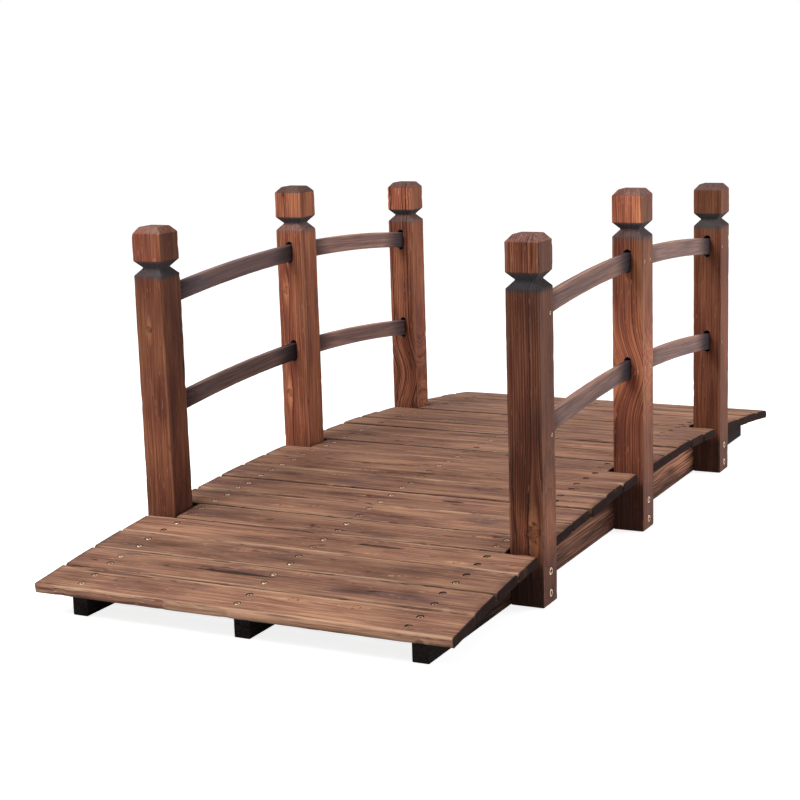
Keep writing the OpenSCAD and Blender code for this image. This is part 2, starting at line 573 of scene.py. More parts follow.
    def attributes(
        self, p: Array, q: Array, t: Array, hollow_shade: Array, out_p: Array, out_q: Array, rim: Array
    ) -> dict[str, Array]:
        """What a finish reads at each point: its place in the wood, its style, its state and the marks.

        Rings are fainter by the square of the cosine between the way out of the skin and the way from the
        pith, and wear falls off from the arrises along a bell curve.

        Args:
            p, q, t: places on the board's own axes.
            hollow_shade: how dark the inside of a hole is painted, as shade.
            out_p, out_q: the way out of the skin.
            rim: distances from the arris.

        Returns:
            Vectors for each point, by name.
        """
        wear = np.exp(-np.square(rim / self.wear_reach))
        # One channel carries scorch and painted shade: the holes' painted shade, and each board's scorch,
        # which on the posts holds painted shade too.
        char_and_shade = np.maximum(self.hole_shade * hollow_shade, self.scorch(p, q, t))
        grain = self.grain_place(p, q, t)
        pith_distance = np.maximum(np.hypot(grain[:, 1], grain[:, 2]), MM)
        flat_sawn = (out_p * grain[:, 1] + out_q * grain[:, 2]) / pith_distance
        stripe = self.grain.stripe * (1 - self.flat_softness * np.square(flat_sawn))
        tone, film = np.full_like(t, self.grain.tone), np.full_like(t, self.grain.film)
        vectors = {
            "grain": grain,
            "style": np.column_stack([tone, stripe, film]),
            "state": np.column_stack([char_and_shade, wear, self.shade(out_p, out_q, t)]),
        }
        for name, value in self.grain.values().items():
            vectors[name] = np.tile(value, (len(t), 1))
        return vectors


def mesh_object(name: str, points: Array, faces: Array, attributes: dict[str, Array]) -> bpy.types.Object:
    """Makes a mesh piece, closes its seams and poles by merging points that coincide, and shades it smooth.

    Args:
        name: the piece's name.
        points: points in the bridge's frame, as rows.
        faces: point numbers of each face, as rows.
        attributes: vectors for each point, by name.

    Returns:
        The new object, at the origin.
    """
    mesh = bpy.data.meshes.new(name)
    mesh.from_pydata(points.tolist(), [], faces.tolist())
    for label, values in attributes.items():
        layer = mesh.attributes.new(label, "FLOAT_VECTOR", "POINT")
        layer.data.foreach_set("vector", values.astype(np.float32).ravel())
    work = bmesh.new()
    work.from_mesh(mesh)
    bmesh.ops.remove_doubles(work, verts=work.verts, dist=MERGE_DISTANCE)
    work.to_mesh(mesh)
    work.free()
    mesh.shade_smooth()
    mesh.set_sharp_from_angle(angle=SHARP_ANGLE)
    piece = bpy.data.objects.new(name, mesh)
    bpy.context.scene.collection.objects.link(piece)
    return piece


class Bench:
    """Short ways to set out and join the shader nodes of a material or of the world."""

    def __init__(self, shaded: Shaded) -> None:
        """Clears the node tree of a new material or world.

        Args:
            shaded: the material or world.
        """
        shaded.use_nodes = True
        self.shaded = shaded
        self.tree = shaded.node_tree
        self.tree.nodes.clear()

    def node(self, kind: str, **settings: object) -> bpy.types.Node:
        """Adds a node and sets its options.

        Args:
            kind: the node's type.
            settings: its options by name.

        Returns:
            The node.
        """
        made = self.tree.nodes.new(kind)
        for key, value in settings.items():
            setattr(made, key, value)
        return made

    def put(self, socket: Socket, value: object) -> None:
        """Joins a socket to another one, or sets its value.

        Args:
            socket: the input.
            value: the output that it is joined to, or its value.
        """
        if isinstance(value, bpy.types.NodeSocket):
            self.tree.links.new(value, socket)
        else:
            socket.default_value = value

    def fill(self, node: bpy.types.Node, values: dict[str, object]) -> Socket:
        """Joins or sets a node's inputs.

        Args:
            node: the node.
            values: what goes into its inputs, by name.

        Returns:
            Its first output.
        """
        for name, value in values.items():
            self.put(node.inputs[name], value)
        return node.outputs[0]

    def join(self, kind: str, *values: object, **settings: object) -> bpy.types.Node:
        """Adds a node and joins or sets its first inputs.

        Args:
            kind: the node's type.
            values: what goes into them.
            settings: its options by name.

        Returns:
            The node.
        """
        made = self.node(kind, **settings)
        for socket, value in zip(made.inputs, values):
            self.put(socket, value)
        return made

    def attribute(self, name: str) -> Socket:
        """A vector stored on the piece's points."""
        return self.node("ShaderNodeAttribute", attribute_name=name).outputs["Vector"]

    def split(self, vector: Socket) -> list[Socket]:
        """The three numbers of a vector."""
        return list(self.join("ShaderNodeSeparateXYZ", vector).outputs)

    def math(self, operation: str, *values: object, clamp: bool = False) -> Socket:
        """Arithmetic on numbers."""
        return self.join("ShaderNodeMath", *values, operation=operation, use_clamp=clamp).outputs[0]

    def times(self, first: object, second: object) -> Socket:
        """Product of two numbers."""
        return self.math("MULTIPLY", first, second)

    def plus(self, value: object, factor: object, base: object) -> Socket:
        """A number times a factor, plus a base."""
        return self.math("MULTIPLY_ADD", value, factor, base)

    def hypot(self, first: object, second: object) -> Socket:
        """Length of the long side of a right triangle."""
        return self.math("SQRT", self.plus(first, first, self.times(second, second)))

    def vector(self, operation: str, *values: object) -> Socket:
        """Arithmetic on vectors."""
        made = self.join("ShaderNodeVectorMath", *values, operation=operation)
        return made.outputs["Value" if operation == "LENGTH" else "Vector"]

    def scaled(self, vector: object, factor: object) -> Socket:
        """A vector or colour times a number."""
        made = self.join("ShaderNodeVectorMath", vector, operation="SCALE")
        return self.fill(made, {"Scale": factor})

    def noise(self, place: Socket, detail: float) -> Socket:
        """Smooth noise about 0.5 with features of size 1."""
        made = self.node("ShaderNodeTexNoise")
        return self.fill(made, {"Vector": place, "Scale": 1.0, "Detail": detail})

    def noise_line(self, value: Socket) -> Socket:
        """Smooth noise along one number."""
        made = self.node("ShaderNodeTexNoise", noise_dimensions="1D")
        return self.fill(made, {"W": value, "Scale": 1.0, "Detail": 1.0})

    def span(self, value: Socket, low: float, high: float, first: float = 0.0, last: float = 1.0) -> Socket:
        """Smooth rise from first at low to last at high."""
        ends = (low, high, first, last)
        return self.join("ShaderNodeMapRange", value, *ends, interpolation_type="SMOOTHSTEP").outputs[0]

    def ramp(self, value: Socket, stops: Sequence[tuple[float, Colour | float]]) -> Socket:
        """Reads a colour or a number off straight lines between stops.

        Args:
            value: the place between the stops.
            stops: places, each with a colour or a level.

        Returns:
            The colour or level there.
        """
        made = self.join("ShaderNodeValToRGB", value)
        elements = made.color_ramp.elements
        while len(elements) < len(stops):
            elements.new(0.5)
        for element, (place, shown) in zip(elements, stops):
            element.position = place
            element.color = shown if isinstance(shown, tuple) else (shown, shown, shown, 1)
        return made.outputs[0]

    def mix(self, share: object, low: object, high: object) -> Socket:
        """Mixes two colours.

        Args:
            share: share of the second.
            low, high: the colours.

        Returns:
            The colour between them.
        """
        made = self.node("ShaderNodeMix", data_type="RGBA")
        for number, value in zip(MIX_INPUTS, (share, low, high)):
            self.put(made.inputs[number], value)
        return made.outputs[MIX_OUTPUT]

    def finish(self, shader: Socket, output: str = "ShaderNodeOutputMaterial") -> Shaded:
        """Joins the shader to an output of the given kind and gives the material or world."""
        self.put(self.node(output).inputs["Surface"], shader)
        return self.shaded


@dataclass(frozen=True)
class Pattern:
    """Smooth noise in a piece: its repeats per metre along and across the grain, and its detail.

    Its patches are 0 where the noise lies under low and 1 where it lies over high.
    """

    along: float
    across: float
    detail: float = 1.0
    low: float = 0.0
    high: float = 1.0

    def noise(self, bench: Bench, place: Socket) -> Socket:
        """The noise itself, about 0.5."""
        scaled = bench.vector("MULTIPLY", place, (self.along, self.across, self.across))
        return bench.noise(scaled, self.detail)

    def patches(self, bench: Bench, place: Socket) -> Socket:
        """Smooth rise from 0 to 1 between the two levels of the noise."""
        return bench.span(self.noise(bench, place), self.low, self.high)


FIBRES = Pattern(14, 520)
STREAKS = Pattern(5, 210, 2.0)
BANDS = Pattern(1.1, 58)
CLOUDS = Pattern(7, 24, 2.0)
BLOTCHES = Pattern(9, 46, 3.0, low=0.52, high=0.72)
FLECKS = Pattern(55, 480, low=0.66, high=0.74)
SPECKS = Pattern(34, 120, 2.0, low=0.63, high=0.7)
RING_SWAY = Pattern(2.4, 12)
RING_JITTER = Pattern(16, 160)
KNOT_RIPPLE = Pattern(90, 90, 2.0)
KNOT_RIM = Pattern(150, 150, low=0.38, high=0.6)
HAIR_CRACKS = Pattern(2.0, 40)
HAIR_AREAS = Pattern(4, 12, 0.0, low=0.6, high=0.7)
STEEL_STAIN = Pattern(420, 420, 3.0, low=0.53, high=0.68)
STEEL_BRUSH = Pattern(1500, 1500, 2.0)
# Share of late wood through one ring, as places and levels: a slow rise and a sudden fall.
LATE_WOOD = ((0, 0.1), (0.35, 0.0), (0.7, 0.5), (0.9, 1), (1, 0.1))
# How a ring's number becomes a place on a line of noise, and the levels there of faint and strong rings.
RING_NUMBER = (0.71, 0.2)
FAINT_RING = (0.25, 0.3)
STRONG_RING = (0.7, 1.0)
# What a distance along the grain counts for beside one across it, for a branch and for its flare.
BRANCH_LENGTH = 0.8
FLARE_LENGTH = 0.2
# Distances between which the parts of a knot fade in or out, in radii of its branch.
FLARE_SPAN = (0.3, 1.5)
PARTING_SPAN = (0.4, 3.2)
CORE_SPAN = (0.5, 1.1)
RIM_START = (0.6, 0.95)
RIM_END = (1.0, 1.5)
# Levels of the waves between which a knot's own rings darken.
WHORL_SPAN = (-0.6, 1.0)
# Levels of the streaks between which a worn arris is rubbed pale.
RUB_SPAN = (0.4, 0.62)
# Shares of stain between which steel stops looking like metal.
METAL_SPAN = (0.2, 1.0)


@dataclass(frozen=True)
class WoodFinish:
    """Stained softwood: rings round the pith, streaks, fibres, knots, cracks, and scorched and worn places.

    Rings, bands, clouds, streaks and fibres move a level between the dark, middle and light colours, each
    as far as its share says. film is a grey bloom, thin all over by film_base and thicker in blotches.
    Flecks are short dashes in the worn colour, and specks in the colour of gaps, which cracks have too.
    ring_step is the mean distance between two rings, sway how far they wander, jitter how much they tremble
    and uneven how much their distances differ. Scorched wood, and the shade painted inside holes, under post
    caps and at post feet, is the char colour times coal_base plus coal_contrast times the level. The
    reliefs of fibres, streaks, rings and cracks are parts of relief.
    """

    name: str
    dark: Colour
    middle: Colour
    light: Colour
    film: Colour
    knot: Colour
    worn: Colour
    char_and_shade: Colour
    gap: Colour = screen_colour(44, 31, 27)
    ring_step: float = 4.8 * MM
    ring_share: float = 0.55
    sway: float = 8 * MM
    jitter: float = 1.6 * MM
    uneven: float = 1.6
    uneven_pace: float = 0.6
    band_share: float = 0.3
    cloud_share: float = 0.7
    streak_share: float = 0.55
    fibre_share: float = 0.8
    film_share: float = 0.5
    film_base: float = 0.0
    fleck_share: float = 0.3
    speck_share: float = 0.0
    dim_cloud: float = 0.4
    pale_cloud: float = 0.5
    knot_ripple: float = 1.3
    knot_core: float = 0.8
    knot_rim: float = 0.5
    whorl_turns: float = 13.0
    whorl_share: float = 0.5
    flare_ripple: float = 0.6
    flare_share: float = 0.3
    parting: float = 0.75
    worn_share: float = 0.5
    crack_half: float = 1.5 * MM
    crack_fray: float = 4 * MM
    crack_edge: float = 0.7 * MM
    crack_share: float = 0.8
    hair_width: float = 0.008
    smoke_drift: float = 0.8
    smoke_onset: float = 0.15
    smoke_full: float = 0.9
    coal_base: float = 0.6
    coal_contrast: float = 0.8
    coal_gloss: float = 0.2
    coal_roughness: float = 0.15
    roughness: float = 0.68
    fibre_roughness: float = 0.3
    specular: float = 0.06
    relief: float = 0.3 * MM
    fibre_relief: float = 0.6
    streak_relief: float = 0.5
    ring_relief: float = 0.25
    crack_relief: float = -2.0

    def across(self, bench: Bench, grain: Socket, name: str) -> tuple[Socket, Socket, Socket, Socket]:
        """Where a point lies beside a mark that goes straight through the board.

        Args:
            bench: the material's bench.
            grain: place in the wood.
            name: the mark's attribute.

        Returns:
            Distance along the grain and across it, the mark's size, and 1 where the mark follows q.
        """
        u, v, w = bench.split(grain)
        place, aside, size = bench.split(bench.attribute(name))
        follows_q = bench.math("GREATER_THAN", size, 0.0)
        cross = bench.plus(bench.math("SUBTRACT", v, w), follows_q, w)
        along = bench.math("SUBTRACT", u, place)
        return along, bench.math("SUBTRACT", cross, aside), bench.math("ABSOLUTE", size), follows_q

    def knots(self, bench: Bench, grain: Socket) -> tuple[Socket, Socket, Socket]:
        """Branches through the board, with the grain parting round each of them.

        A branch is a little longer along the grain than across it, and its flare five times as long. The
        grain is pushed aside in proportion to its distance, and less so away from the flare.

        Args:
            bench: the material's bench.
            grain: place in the wood.

        Returns:
            Distance from the nearest branch in its own radii, the pale flare above and below branches, and
            the place in the wood with the grain parted.
        """
        ripple = KNOT_RIPPLE.noise(bench, grain)
        ripple = bench.plus(ripple, self.knot_ripple, -self.knot_ripple / 2)
        nearest, flare = None, None
        for name in KNOT_NAMES:
            along, across, radius, follows_q = self.across(bench, grain, name)
            rise, off = bench.math("DIVIDE", along, radius), bench.math("DIVIDE", across, radius)
            radii = bench.math("ADD", bench.hypot(bench.times(rise, BRANCH_LENGTH), off), ripple)
            spread = bench.hypot(bench.times(rise, FLARE_LENGTH), off)
            spread = bench.plus(ripple, self.flare_ripple, spread)
            shine = bench.span(spread, *FLARE_SPAN, 1.0, 0.0)
            push = bench.times(across, bench.span(spread, *PARTING_SPAN, -self.parting, 0.0))
            beside = bench.node("ShaderNodeCombineXYZ")
            push_v = bench.times(push, follows_q)
            bench.put(beside.inputs[1], push_v)
            bench.put(beside.inputs[2], bench.math("SUBTRACT", push, push_v))
            grain = bench.vector("ADD", grain, beside.outputs[0])
            nearest = radii if nearest is None else bench.math("MINIMUM", nearest, radii)
            flare = shine if flare is None else bench.math("MAXIMUM", flare, shine)
        return nearest, flare, grain

    def rings(self, bench: Bench, grain: Socket) -> Socket:
        """Growth rings, some of them fainter than others.

        The distance from the pith, moved by noise and divided by the ring step, counts the rings. Its
        fraction rises slowly to each ring's dark late wood and then falls at once.

        Args:
            bench: the material's bench.
            grain: place in the wood.

        Returns:
            Share of late wood from 0 to 1.
        """
        radius = bench.vector("LENGTH", bench.vector("MULTIPLY", grain, (0, 1, 1)))
        radius = bench.plus(RING_SWAY.noise(bench, grain), self.sway, radius)
        radius = bench.plus(RING_JITTER.noise(bench, grain), self.jitter, radius)
        count = bench.math("DIVIDE", radius, self.ring_step)
        uneven = bench.noise_line(bench.times(count, self.uneven_pace))
        count = bench.plus(uneven, self.uneven, count)
        dark = bench.ramp(bench.math("FRACT", count), LATE_WOOD)
        force = bench.noise_line(bench.plus(bench.math("FLOOR", count), *RING_NUMBER))
        strength = bench.span(force, FAINT_RING[0], STRONG_RING[0], FAINT_RING[1], STRONG_RING[1])
        return bench.times(dark, strength)

    def crack(self, bench: Bench, grain: Socket, streak: Socket) -> Socket:
        """Drying cracks: a long spindle where the board has one, and hair cracks in a few places.

        The spindle's half width falls as a parabola from its middle to its ends, and a hair crack runs where
        a slow noise passes through its middle level.

        Args:
            bench: the material's bench.
            grain: place in the wood.
            streak: noise that frays the spindle.

        Returns:
            1 in a crack and 0 beside it.
        """
        along, across, half, _ = self.across(bench, grain, CRACK_NAME)
        share = bench.math("DIVIDE", along, half)
        square = bench.times(share, share)
        width = bench.plus(square, -self.crack_half, self.crack_half)
        fray = bench.plus(streak, self.crack_fray, -self.crack_fray / 2)
        away = bench.math("ADD", bench.math("ABSOLUTE", across), fray)
        spindle = bench.span(bench.math("SUBTRACT", width, away), 0.0, self.crack_edge)
        line = bench.math("ABSOLUTE", bench.math("SUBTRACT", HAIR_CRACKS.noise(bench, grain), 0.5))
        hair = bench.span(line, 0.0, self.hair_width, 1.0, 0.0)
        return bench.math("MAXIMUM", spindle, bench.times(hair, HAIR_AREAS.patches(bench, grain)))

    def stained(self, bench: Bench, colour: Socket, grain: Socket, film: Socket, cloud: Socket) -> Socket:
        """Lays the grey film, the pale flecks and, in dim clouds, the dark specks over a colour.

        Args:
            bench: the material's bench.
            colour: the colour of the wood.
            grain: place in the wood.
            film: how thick the film is on this board.
            cloud: noise of the clouds.

        Returns:
            The new colour.
        """
        veil = bench.times(bench.math("ADD", BLOTCHES.patches(bench, grain), self.film_base), film)
        veil = bench.math("MULTIPLY", veil, self.film_share, clamp=True)
        colour = bench.mix(veil, colour, self.film)
        flecks = bench.times(FLECKS.patches(bench, grain), self.fleck_share)
        colour = bench.mix(flecks, colour, self.worn)
        dim = bench.span(cloud, self.dim_cloud, self.pale_cloud, self.speck_share, 0.0)
        return bench.mix(bench.times(SPECKS.patches(bench, grain), dim), colour, self.gap)

    def knotted(self, bench: Bench, colour: Socket, place: Socket, nearest: Socket) -> Socket:
        """Lays the knots over a colour: a core with the branch's own rings and a broken dark rim.

        Args:
            bench: the material's bench.
            colour: the colour of the wood.
            place: place in the wood.
            nearest: distance from the nearest branch in its own radii.

        Returns:
            The new colour.
        """
        core = bench.span(nearest, *CORE_SPAN, self.knot_core, 0.0)
        wave = bench.math("SINE", bench.times(nearest, self.whorl_turns))
        whorl = bench.span(wave, *WHORL_SPAN, 0.0, self.whorl_share)
        colour = bench.mix(core, colour, bench.mix(whorl, self.knot, self.dark))
        outer = bench.span(nearest, *RIM_END, self.knot_rim, 0.0)
        rim = bench.times(bench.span(nearest, *RIM_START), outer)
        rim = bench.times(rim, KNOT_RIM.patches(bench, place))
        return bench.mix(rim, colour, self.dark)

    def material(self) -> bpy.types.Material:
        """Builds the finish from the piece's grain, style and state.

        Returns:
            The material.
        """
        bench = Bench(bpy.data.materials.new(self.name))
        place = bench.attribute("grain")
        tone, stripe, film = bench.split(bench.attribute("style"))
        char_and_shade, wear, shade = bench.split(bench.attribute("state"))
        nearest, flare, grain = self.knots(bench, place)
        late = self.rings(bench, grain)
        fibre = FIBRES.noise(bench, grain)
        streak = STREAKS.noise(bench, grain)
        cloud = CLOUDS.noise(bench, grain)
        crack = self.crack(bench, place, streak)

        # The level is 0.5 where every noise has its mean and a fifth of the wood is late wood.
        level = bench.times(bench.times(late, stripe), -self.ring_share)
        mean = 0.5 + 0.2 * self.ring_share
        for noise, share in (
            (fibre, self.fibre_share),
            (streak, self.streak_share),
            (BANDS.noise(bench, grain), self.band_share),
            (cloud, self.cloud_share),
        ):
            level = bench.plus(noise, share, level)
            mean -= 0.5 * share
        level = bench.math("ADD", bench.plus(flare, self.flare_share, level), mean)
        colour = bench.ramp(level, ((0, self.dark), (0.5, self.middle), (1, self.light)))
        colour = self.stained(bench, colour, grain, film, cloud)
        colour = self.knotted(bench, colour, place, nearest)
        rub = bench.times(wear, bench.span(streak, *RUB_SPAN))
        colour = bench.mix(bench.times(rub, self.worn_share), colour, self.worn)
        colour = bench.mix(bench.times(crack, self.crack_share), colour, self.gap)
        # Scorch and painted shade are laid on with the char colour.
        drift = bench.plus(bench.math("SUBTRACT", cloud, 0.5), self.smoke_drift, char_and_shade)
        onset = bench.span(char_and_shade, 0.0, self.smoke_onset)
        scorch_and_shade = bench.times(bench.span(drift, 0.0, self.smoke_full), onset)
        coal_level = bench.plus(level, self.coal_contrast, self.coal_base)
        colour = bench.mix(scorch_and_shade, colour, bench.scaled(self.char_and_shade[:3], coal_level))

        height = bench.times(streak, self.streak_relief)
        for form, share in (
            (fibre, self.fibre_relief),
            (late, self.ring_relief),
            (crack, self.crack_relief),
        ):
            height = bench.plus(form, share, height)
        bump = {"Strength": 1.0, "Distance": self.relief, "Height": height}
        rough = bench.plus(bench.math("SUBTRACT", fibre, 0.5), self.fibre_roughness, self.roughness)
        gloss = bench.span(scorch_and_shade, 0.0, 1.0, self.specular, self.coal_gloss * self.specular)
        surface = {
            "Base Color": bench.scaled(colour, bench.times(tone, shade)),
            "Roughness": bench.math("MULTIPLY_ADD", scorch_and_shade, self.coal_roughness, rough, clamp=True),
            "Specular IOR Level": gloss,
            "Normal": bench.fill(bench.node("ShaderNodeBump"), bump),
        }
        return bench.finish(bench.fill(bench.node("ShaderNodeBsdfPrincipled"), surface))


@dataclass(frozen=True)
class SteelFinish:
    """Plated screw steel, dulled and stained in patches; the head's rim and recess are darkened too, partly
    staining and partly painted shade.
    """

    name: str
    bright: Colour
    stain_and_shade: Colour
    roughness: float = 0.34
    stain_roughness: float = 0.3
    brush_roughness: float = 0.1
    bright_metal: float = 0.9
    stained_metal: float = 0.1
    brush_strength: float = 0.4
    brush_relief: float = 0.05 * MM

    def material(self) -> bpy.types.Material:
        """Builds the finish on the piece's own place in space.

        Returns:
            The material.
        """
        bench = Bench(bpy.data.materials.new(self.name))
        place = bench.node("ShaderNodeTexCoord").outputs["Object"]
        recess = bench.split(bench.attribute("state"))[0]
        # The head's painted shade joins the patches of staining.
        stain_and_shade = bench.math("MAXIMUM", STEEL_STAIN.patches(bench, place), recess)
        brushed = STEEL_BRUSH.noise(bench, place)
        rough = bench.plus(stain_and_shade, self.stain_roughness, self.roughness)
        bump = {"Strength": self.brush_strength, "Distance": self.brush_relief, "Height": brushed}
        surface = {
            "Base Color": bench.mix(stain_and_shade, self.bright, self.stain_and_shade),
            "Metallic": bench.span(stain_and_shade, *METAL_SPAN, self.bright_metal, self.stained_metal),
            "Roughness": bench.plus(brushed, self.brush_roughness, rough),
            "Normal": bench.fill(bench.node("ShaderNodeBump"), bump),
        }
        return bench.finish(bench.fill(bench.node("ShaderNodeBsdfPrincipled"), surface))


DECK_WOOD = WoodFinish(
    "deck_wood",
    dark=screen_colour(92, 57, 46),
    middle=screen_colour(152, 110, 90),
    light=screen_colour(209, 157, 123),
    film=screen_colour(110, 83, 80),
    knot=screen_colour(200, 144, 102),
    worn=screen_colour(212, 172, 142),
    char_and_shade=screen_colour(48, 37, 35),
    ring_step=5.5 * MM,
    ring_share=0.3,
    sway=22 * MM,
    band_share=0.5,
    cloud_share=1.1,
    streak_share=0.7,
    fibre_share=1.1,
    film_share=0.55,
    film_base=0.15,
    fleck_share=0.5,
    speck_share=0.7,
    knot_rim=0.65,
    worn_share=0.8,
    crack_half=4.5 * MM,
)
STRINGER_WOOD = WoodFinish(
    "stringer_wood",
    dark=screen_colour(24, 14, 11),
    middle=screen_colour(101, 67, 54),
    light=screen_colour(180, 127, 100),
    film=screen_colour(78, 58, 54),
    knot=screen_colour(130, 84, 60),
    worn=screen_colour(150, 108, 86),
    char_and_shade=screen_colour(46, 40, 40),
    band_share=0.8,
    cloud_share=1.3,
    streak_share=1.3,
    fibre_share=1.6,
)
POST_WOOD = WoodFinish(
    "post_wood",
    dark=screen_colour(56, 28, 20),
    middle=screen_colour(140, 78, 58),
    light=screen_colour(210, 138, 97),
    film=screen_colour(92, 62, 57),
    knot=screen_colour(168, 102, 68),
    worn=screen_colour(204, 150, 118),
    char_and_shade=screen_colour(108, 102, 104),
    ring_step=3.8 * MM,
    ring_share=0.65,
    band_share=0.2,
    cloud_share=0.8,
    streak_share=0.45,
    film_share=0.25,
    fleck_share=0.5,
    knot_rim=0.75,
    worn_share=0.3,
    specular=0.15,
)
# The rails' thick grey-violet film is partly a bloom on the wood and partly a painted reflection of the pale
# surroundings.
RAIL_WOOD = WoodFinish(
    "rail_wood",
    dark=screen_colour(62, 46, 44),
    middle=screen_colour(118, 88, 79),
    light=screen_colour(160, 122, 108),
    film=screen_colour(100, 90, 97),
    knot=screen_colour(140, 98, 78),
    worn=screen_colour(158, 122, 104),
    char_and_shade=screen_colour(48, 43, 47),
    ring_share=0.15,
    band_share=0.4,
    streak_share=0.7,
    fibre_share=1.4,
    film_share=0.6,
    film_base=0.35,
    specular=0.15,
    relief=0.2 * MM,
)
SCREW_STEEL = SteelFinish(
    "screw_steel",
    bright=screen_colour(240, 206, 174),
    stain_and_shade=screen_colour(98, 64, 48),
)


def attach(piece: bpy.types.Object, material: bpy.types.Material, slot: str, *nodes: str) -> None:
    """Dresses a piece, fixes it to the bridge's body and lets it stand for its nodes of the frame.

    Args:
        piece: the piece.
        material: its finish.
        slot: not used.
        nodes: nodes of the frame that the piece stands for.
    """
    piece.data.materials.append(material)
    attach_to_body(piece, BODY)
    if nodes:
        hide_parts(*nodes)
    LOG.info("%s: %d faces", piece.name, len(piece.data.polygons))


@dataclass
class Plank(Board):
    """Deck plank: p runs towards the front end, q up from its seat and t to the left.

    turn is the plank's slope along the deck's bow, centre_z and seat_radius the bow's middle and its radius
    at the underside of the planks. cup is how deep its top is hollowed across. The edges say how far its
    long sides stand back. joints say how dark the joints in front of it and behind it are, and joint_reach
    how far they darken its top. At its ends the arrises grow by wane, up to their widest as shares of the
    thickness. smudges are dark stains, each as a place along and across, a half length, a half width and a
    depth.
    """

    turn: float = 0.0
    centre_z: float = 0.0
    seat_radius: float = 0.0
    cup: float = 0.0
    front_edge: Uneven = Uneven(0.0)
    back_edge: Uneven = Uneven(0.0)
    joints: tuple[float, float] = (0.0, 0.0)
    joint_reach: float = 5 * MM
    joint_full: float = 1.5 * MM
    joint_stain: float = 0.3
    joint_edge: Fade = Fade(0.65, 4 * MM, 2 * MM)
    joint_drop: Fade = Fade(1.0, 0.1 * MM, 1.2 * MM)
    sawn_end: Fade = Fade(0.9, 2.4 * MM, 0.3 * MM)
    near_end: Fade = Fade(0.3, 16 * MM, 0.0)
    underside: float = 0.6
    wane: float = 2.5 * MM
    wane_reach: float = 16 * MM
    widest: tuple[float, float, float, float] = (0.3, 0.3, 0.62, 0.62)
    smudges: Array = field(default_factory=lambda: np.zeros((0, 5)))

    def radii(self, t: Array) -> Array:
        """Radii of the four long edges as rows, growing towards the ends."""
        radii = super().radii(t) + Fade(self.wane, self.wane_reach, 0.0).at(self.end_distance(t))
        return np.minimum(radii, self.height * np.array(self.widest)[:, None])

    def section(self, t: Array) -> Section:
        """Rounded board with uneven long sides."""
        low, high = self.back_edge.at(t) - self.width / 2, self.width / 2 - self.front_edge.at(t)
        return Section(low, high, np.zeros_like(t), np.full_like(t, self.height), self.radii(t))

    def place(self, p: Array, q: Array, t: Array) -> Array:
        """Turns the plank about the middle of the deck's bow; its top is cupped across by a parabola.

        Args:
            p, q, t: places on the plank's own axes.

        Returns:
            Points in the bridge's frame, as rows.
        """
        q = q + self.cup * (q / self.height) * (np.square(2 * p / self.width) - 1)
        out, ahead = self.seat_radius + q, -p
        x = ahead * math.cos(self.turn) + out * math.sin(self.turn)
        z = self.centre_z + out * math.cos(self.turn) - ahead * math.sin(self.turn)
        return np.column_stack([x, t, z])

    def scorch(self, p: Array, q: Array, t: Array) -> Array:
        """Scorches the sawn ends, the joints and the underside, and smudges the top.

        Args:
            p, q, t: places on the plank's own axes.

        Returns:
            How scorched the skin is at each point, from 0 to 1.
        """
        left = self.end_distance(t)
        inside = self.width / 2 - np.abs(p)
        under = Fade(self.underside, self.height / 2, 0.0).at(q)
        spread = Fade(self.joint_stain, self.joint_reach, self.joint_full).at(inside)
        edge = self.joint_edge.at(inside) * self.joint_drop.at(self.height - q)
        joint = np.maximum(spread, edge) * np.where(p > 0, *self.joints)
        smudge = np.zeros_like(t)
        for along, aside, length, width, depth in self.smudges:
            away = np.square((t - along) / length) + np.square((p - aside) / width)
            smudge = np.maximum(smudge, depth * np.exp(-away))
        return np.maximum.reduce([self.sawn_end.at(left), self.near_end.at(left), under, joint, smudge])


# Marks of the planks by number, in millimetres along and across each plank. A knot has a radius, a smudge a
# half length, a half width and a depth, and a crack a half length. Other planks draw theirs from the ranges.
DECK_KNOTS = {
    1: ((-70, -15, 5.5), (-165, -17, 5.0)),
    4: ((-313, 13, 6.0), (-230, 19, 3.5), (-98, 22, 2.5)),
    5: ((150, 4, 3.5), (-225, -16, 4.0)),
    6: ((139, 9, 5.0), (92, -4, 5.0), (-163, 2, 5.0)),
    7: ((40, -3, 4.5),),
    9: ((105, 9, 6.0),),
}
KNOT_RANGE = ((-310, -26, 2.5), (310, 26, 5.5))
DECK_SMUDGES = {
    1: ((285, 0, 45, 25, 0.35), (-250, -20, 60, 8, 0.3)),
    2: ((60, -4, 130, 7, 0.4), (-140, 6, 45, 14, 0.45), (-215, -4, 25, 12, 0.45)),
    3: ((215, 0, 45, 14, 0.35), (20, 6, 50, 10, 0.4), (-190, 0, 70, 14, 0.4), (120, -12, 30, 8, 0.4)),
    5: ((210, 0, 110, 24, 0.35), (-60, 14, 40, 8, 0.4)),
    7: ((20, 4, 190, 26, 0.35), (-230, 0, 50, 14, 0.35)),
}
SMUDGE_RANGE = ((-300, -20, 25, 6, 0.2), (300, 20, 110, 16, 0.45))
DECK_CRACKS = {2: (55, -3, 70), 4: (-98, -9, 42), 7: (-110, -12, 24), 9: (0, 0, 22)}
# How dark the joint behind a plank is, where it differs from the others.
JOINT_DEPTHS = {0: 0.0, 1: 0.6, 3: 0.7, 5: 1.0, 6: 0.5, 8: 0.55, 9: 0.95, 10: 0.95, 21: 0.0}
# Ranges of the planks' tone, stripe and film, and of the pith's distances aside and up or down.
PLANK_STYLES = ((0.88, 0.4, 0.4), (1.12, 1.0, 1.6))
PITH_ASIDE = (50, 120)
PITH_HEIGHT = (15, 50)


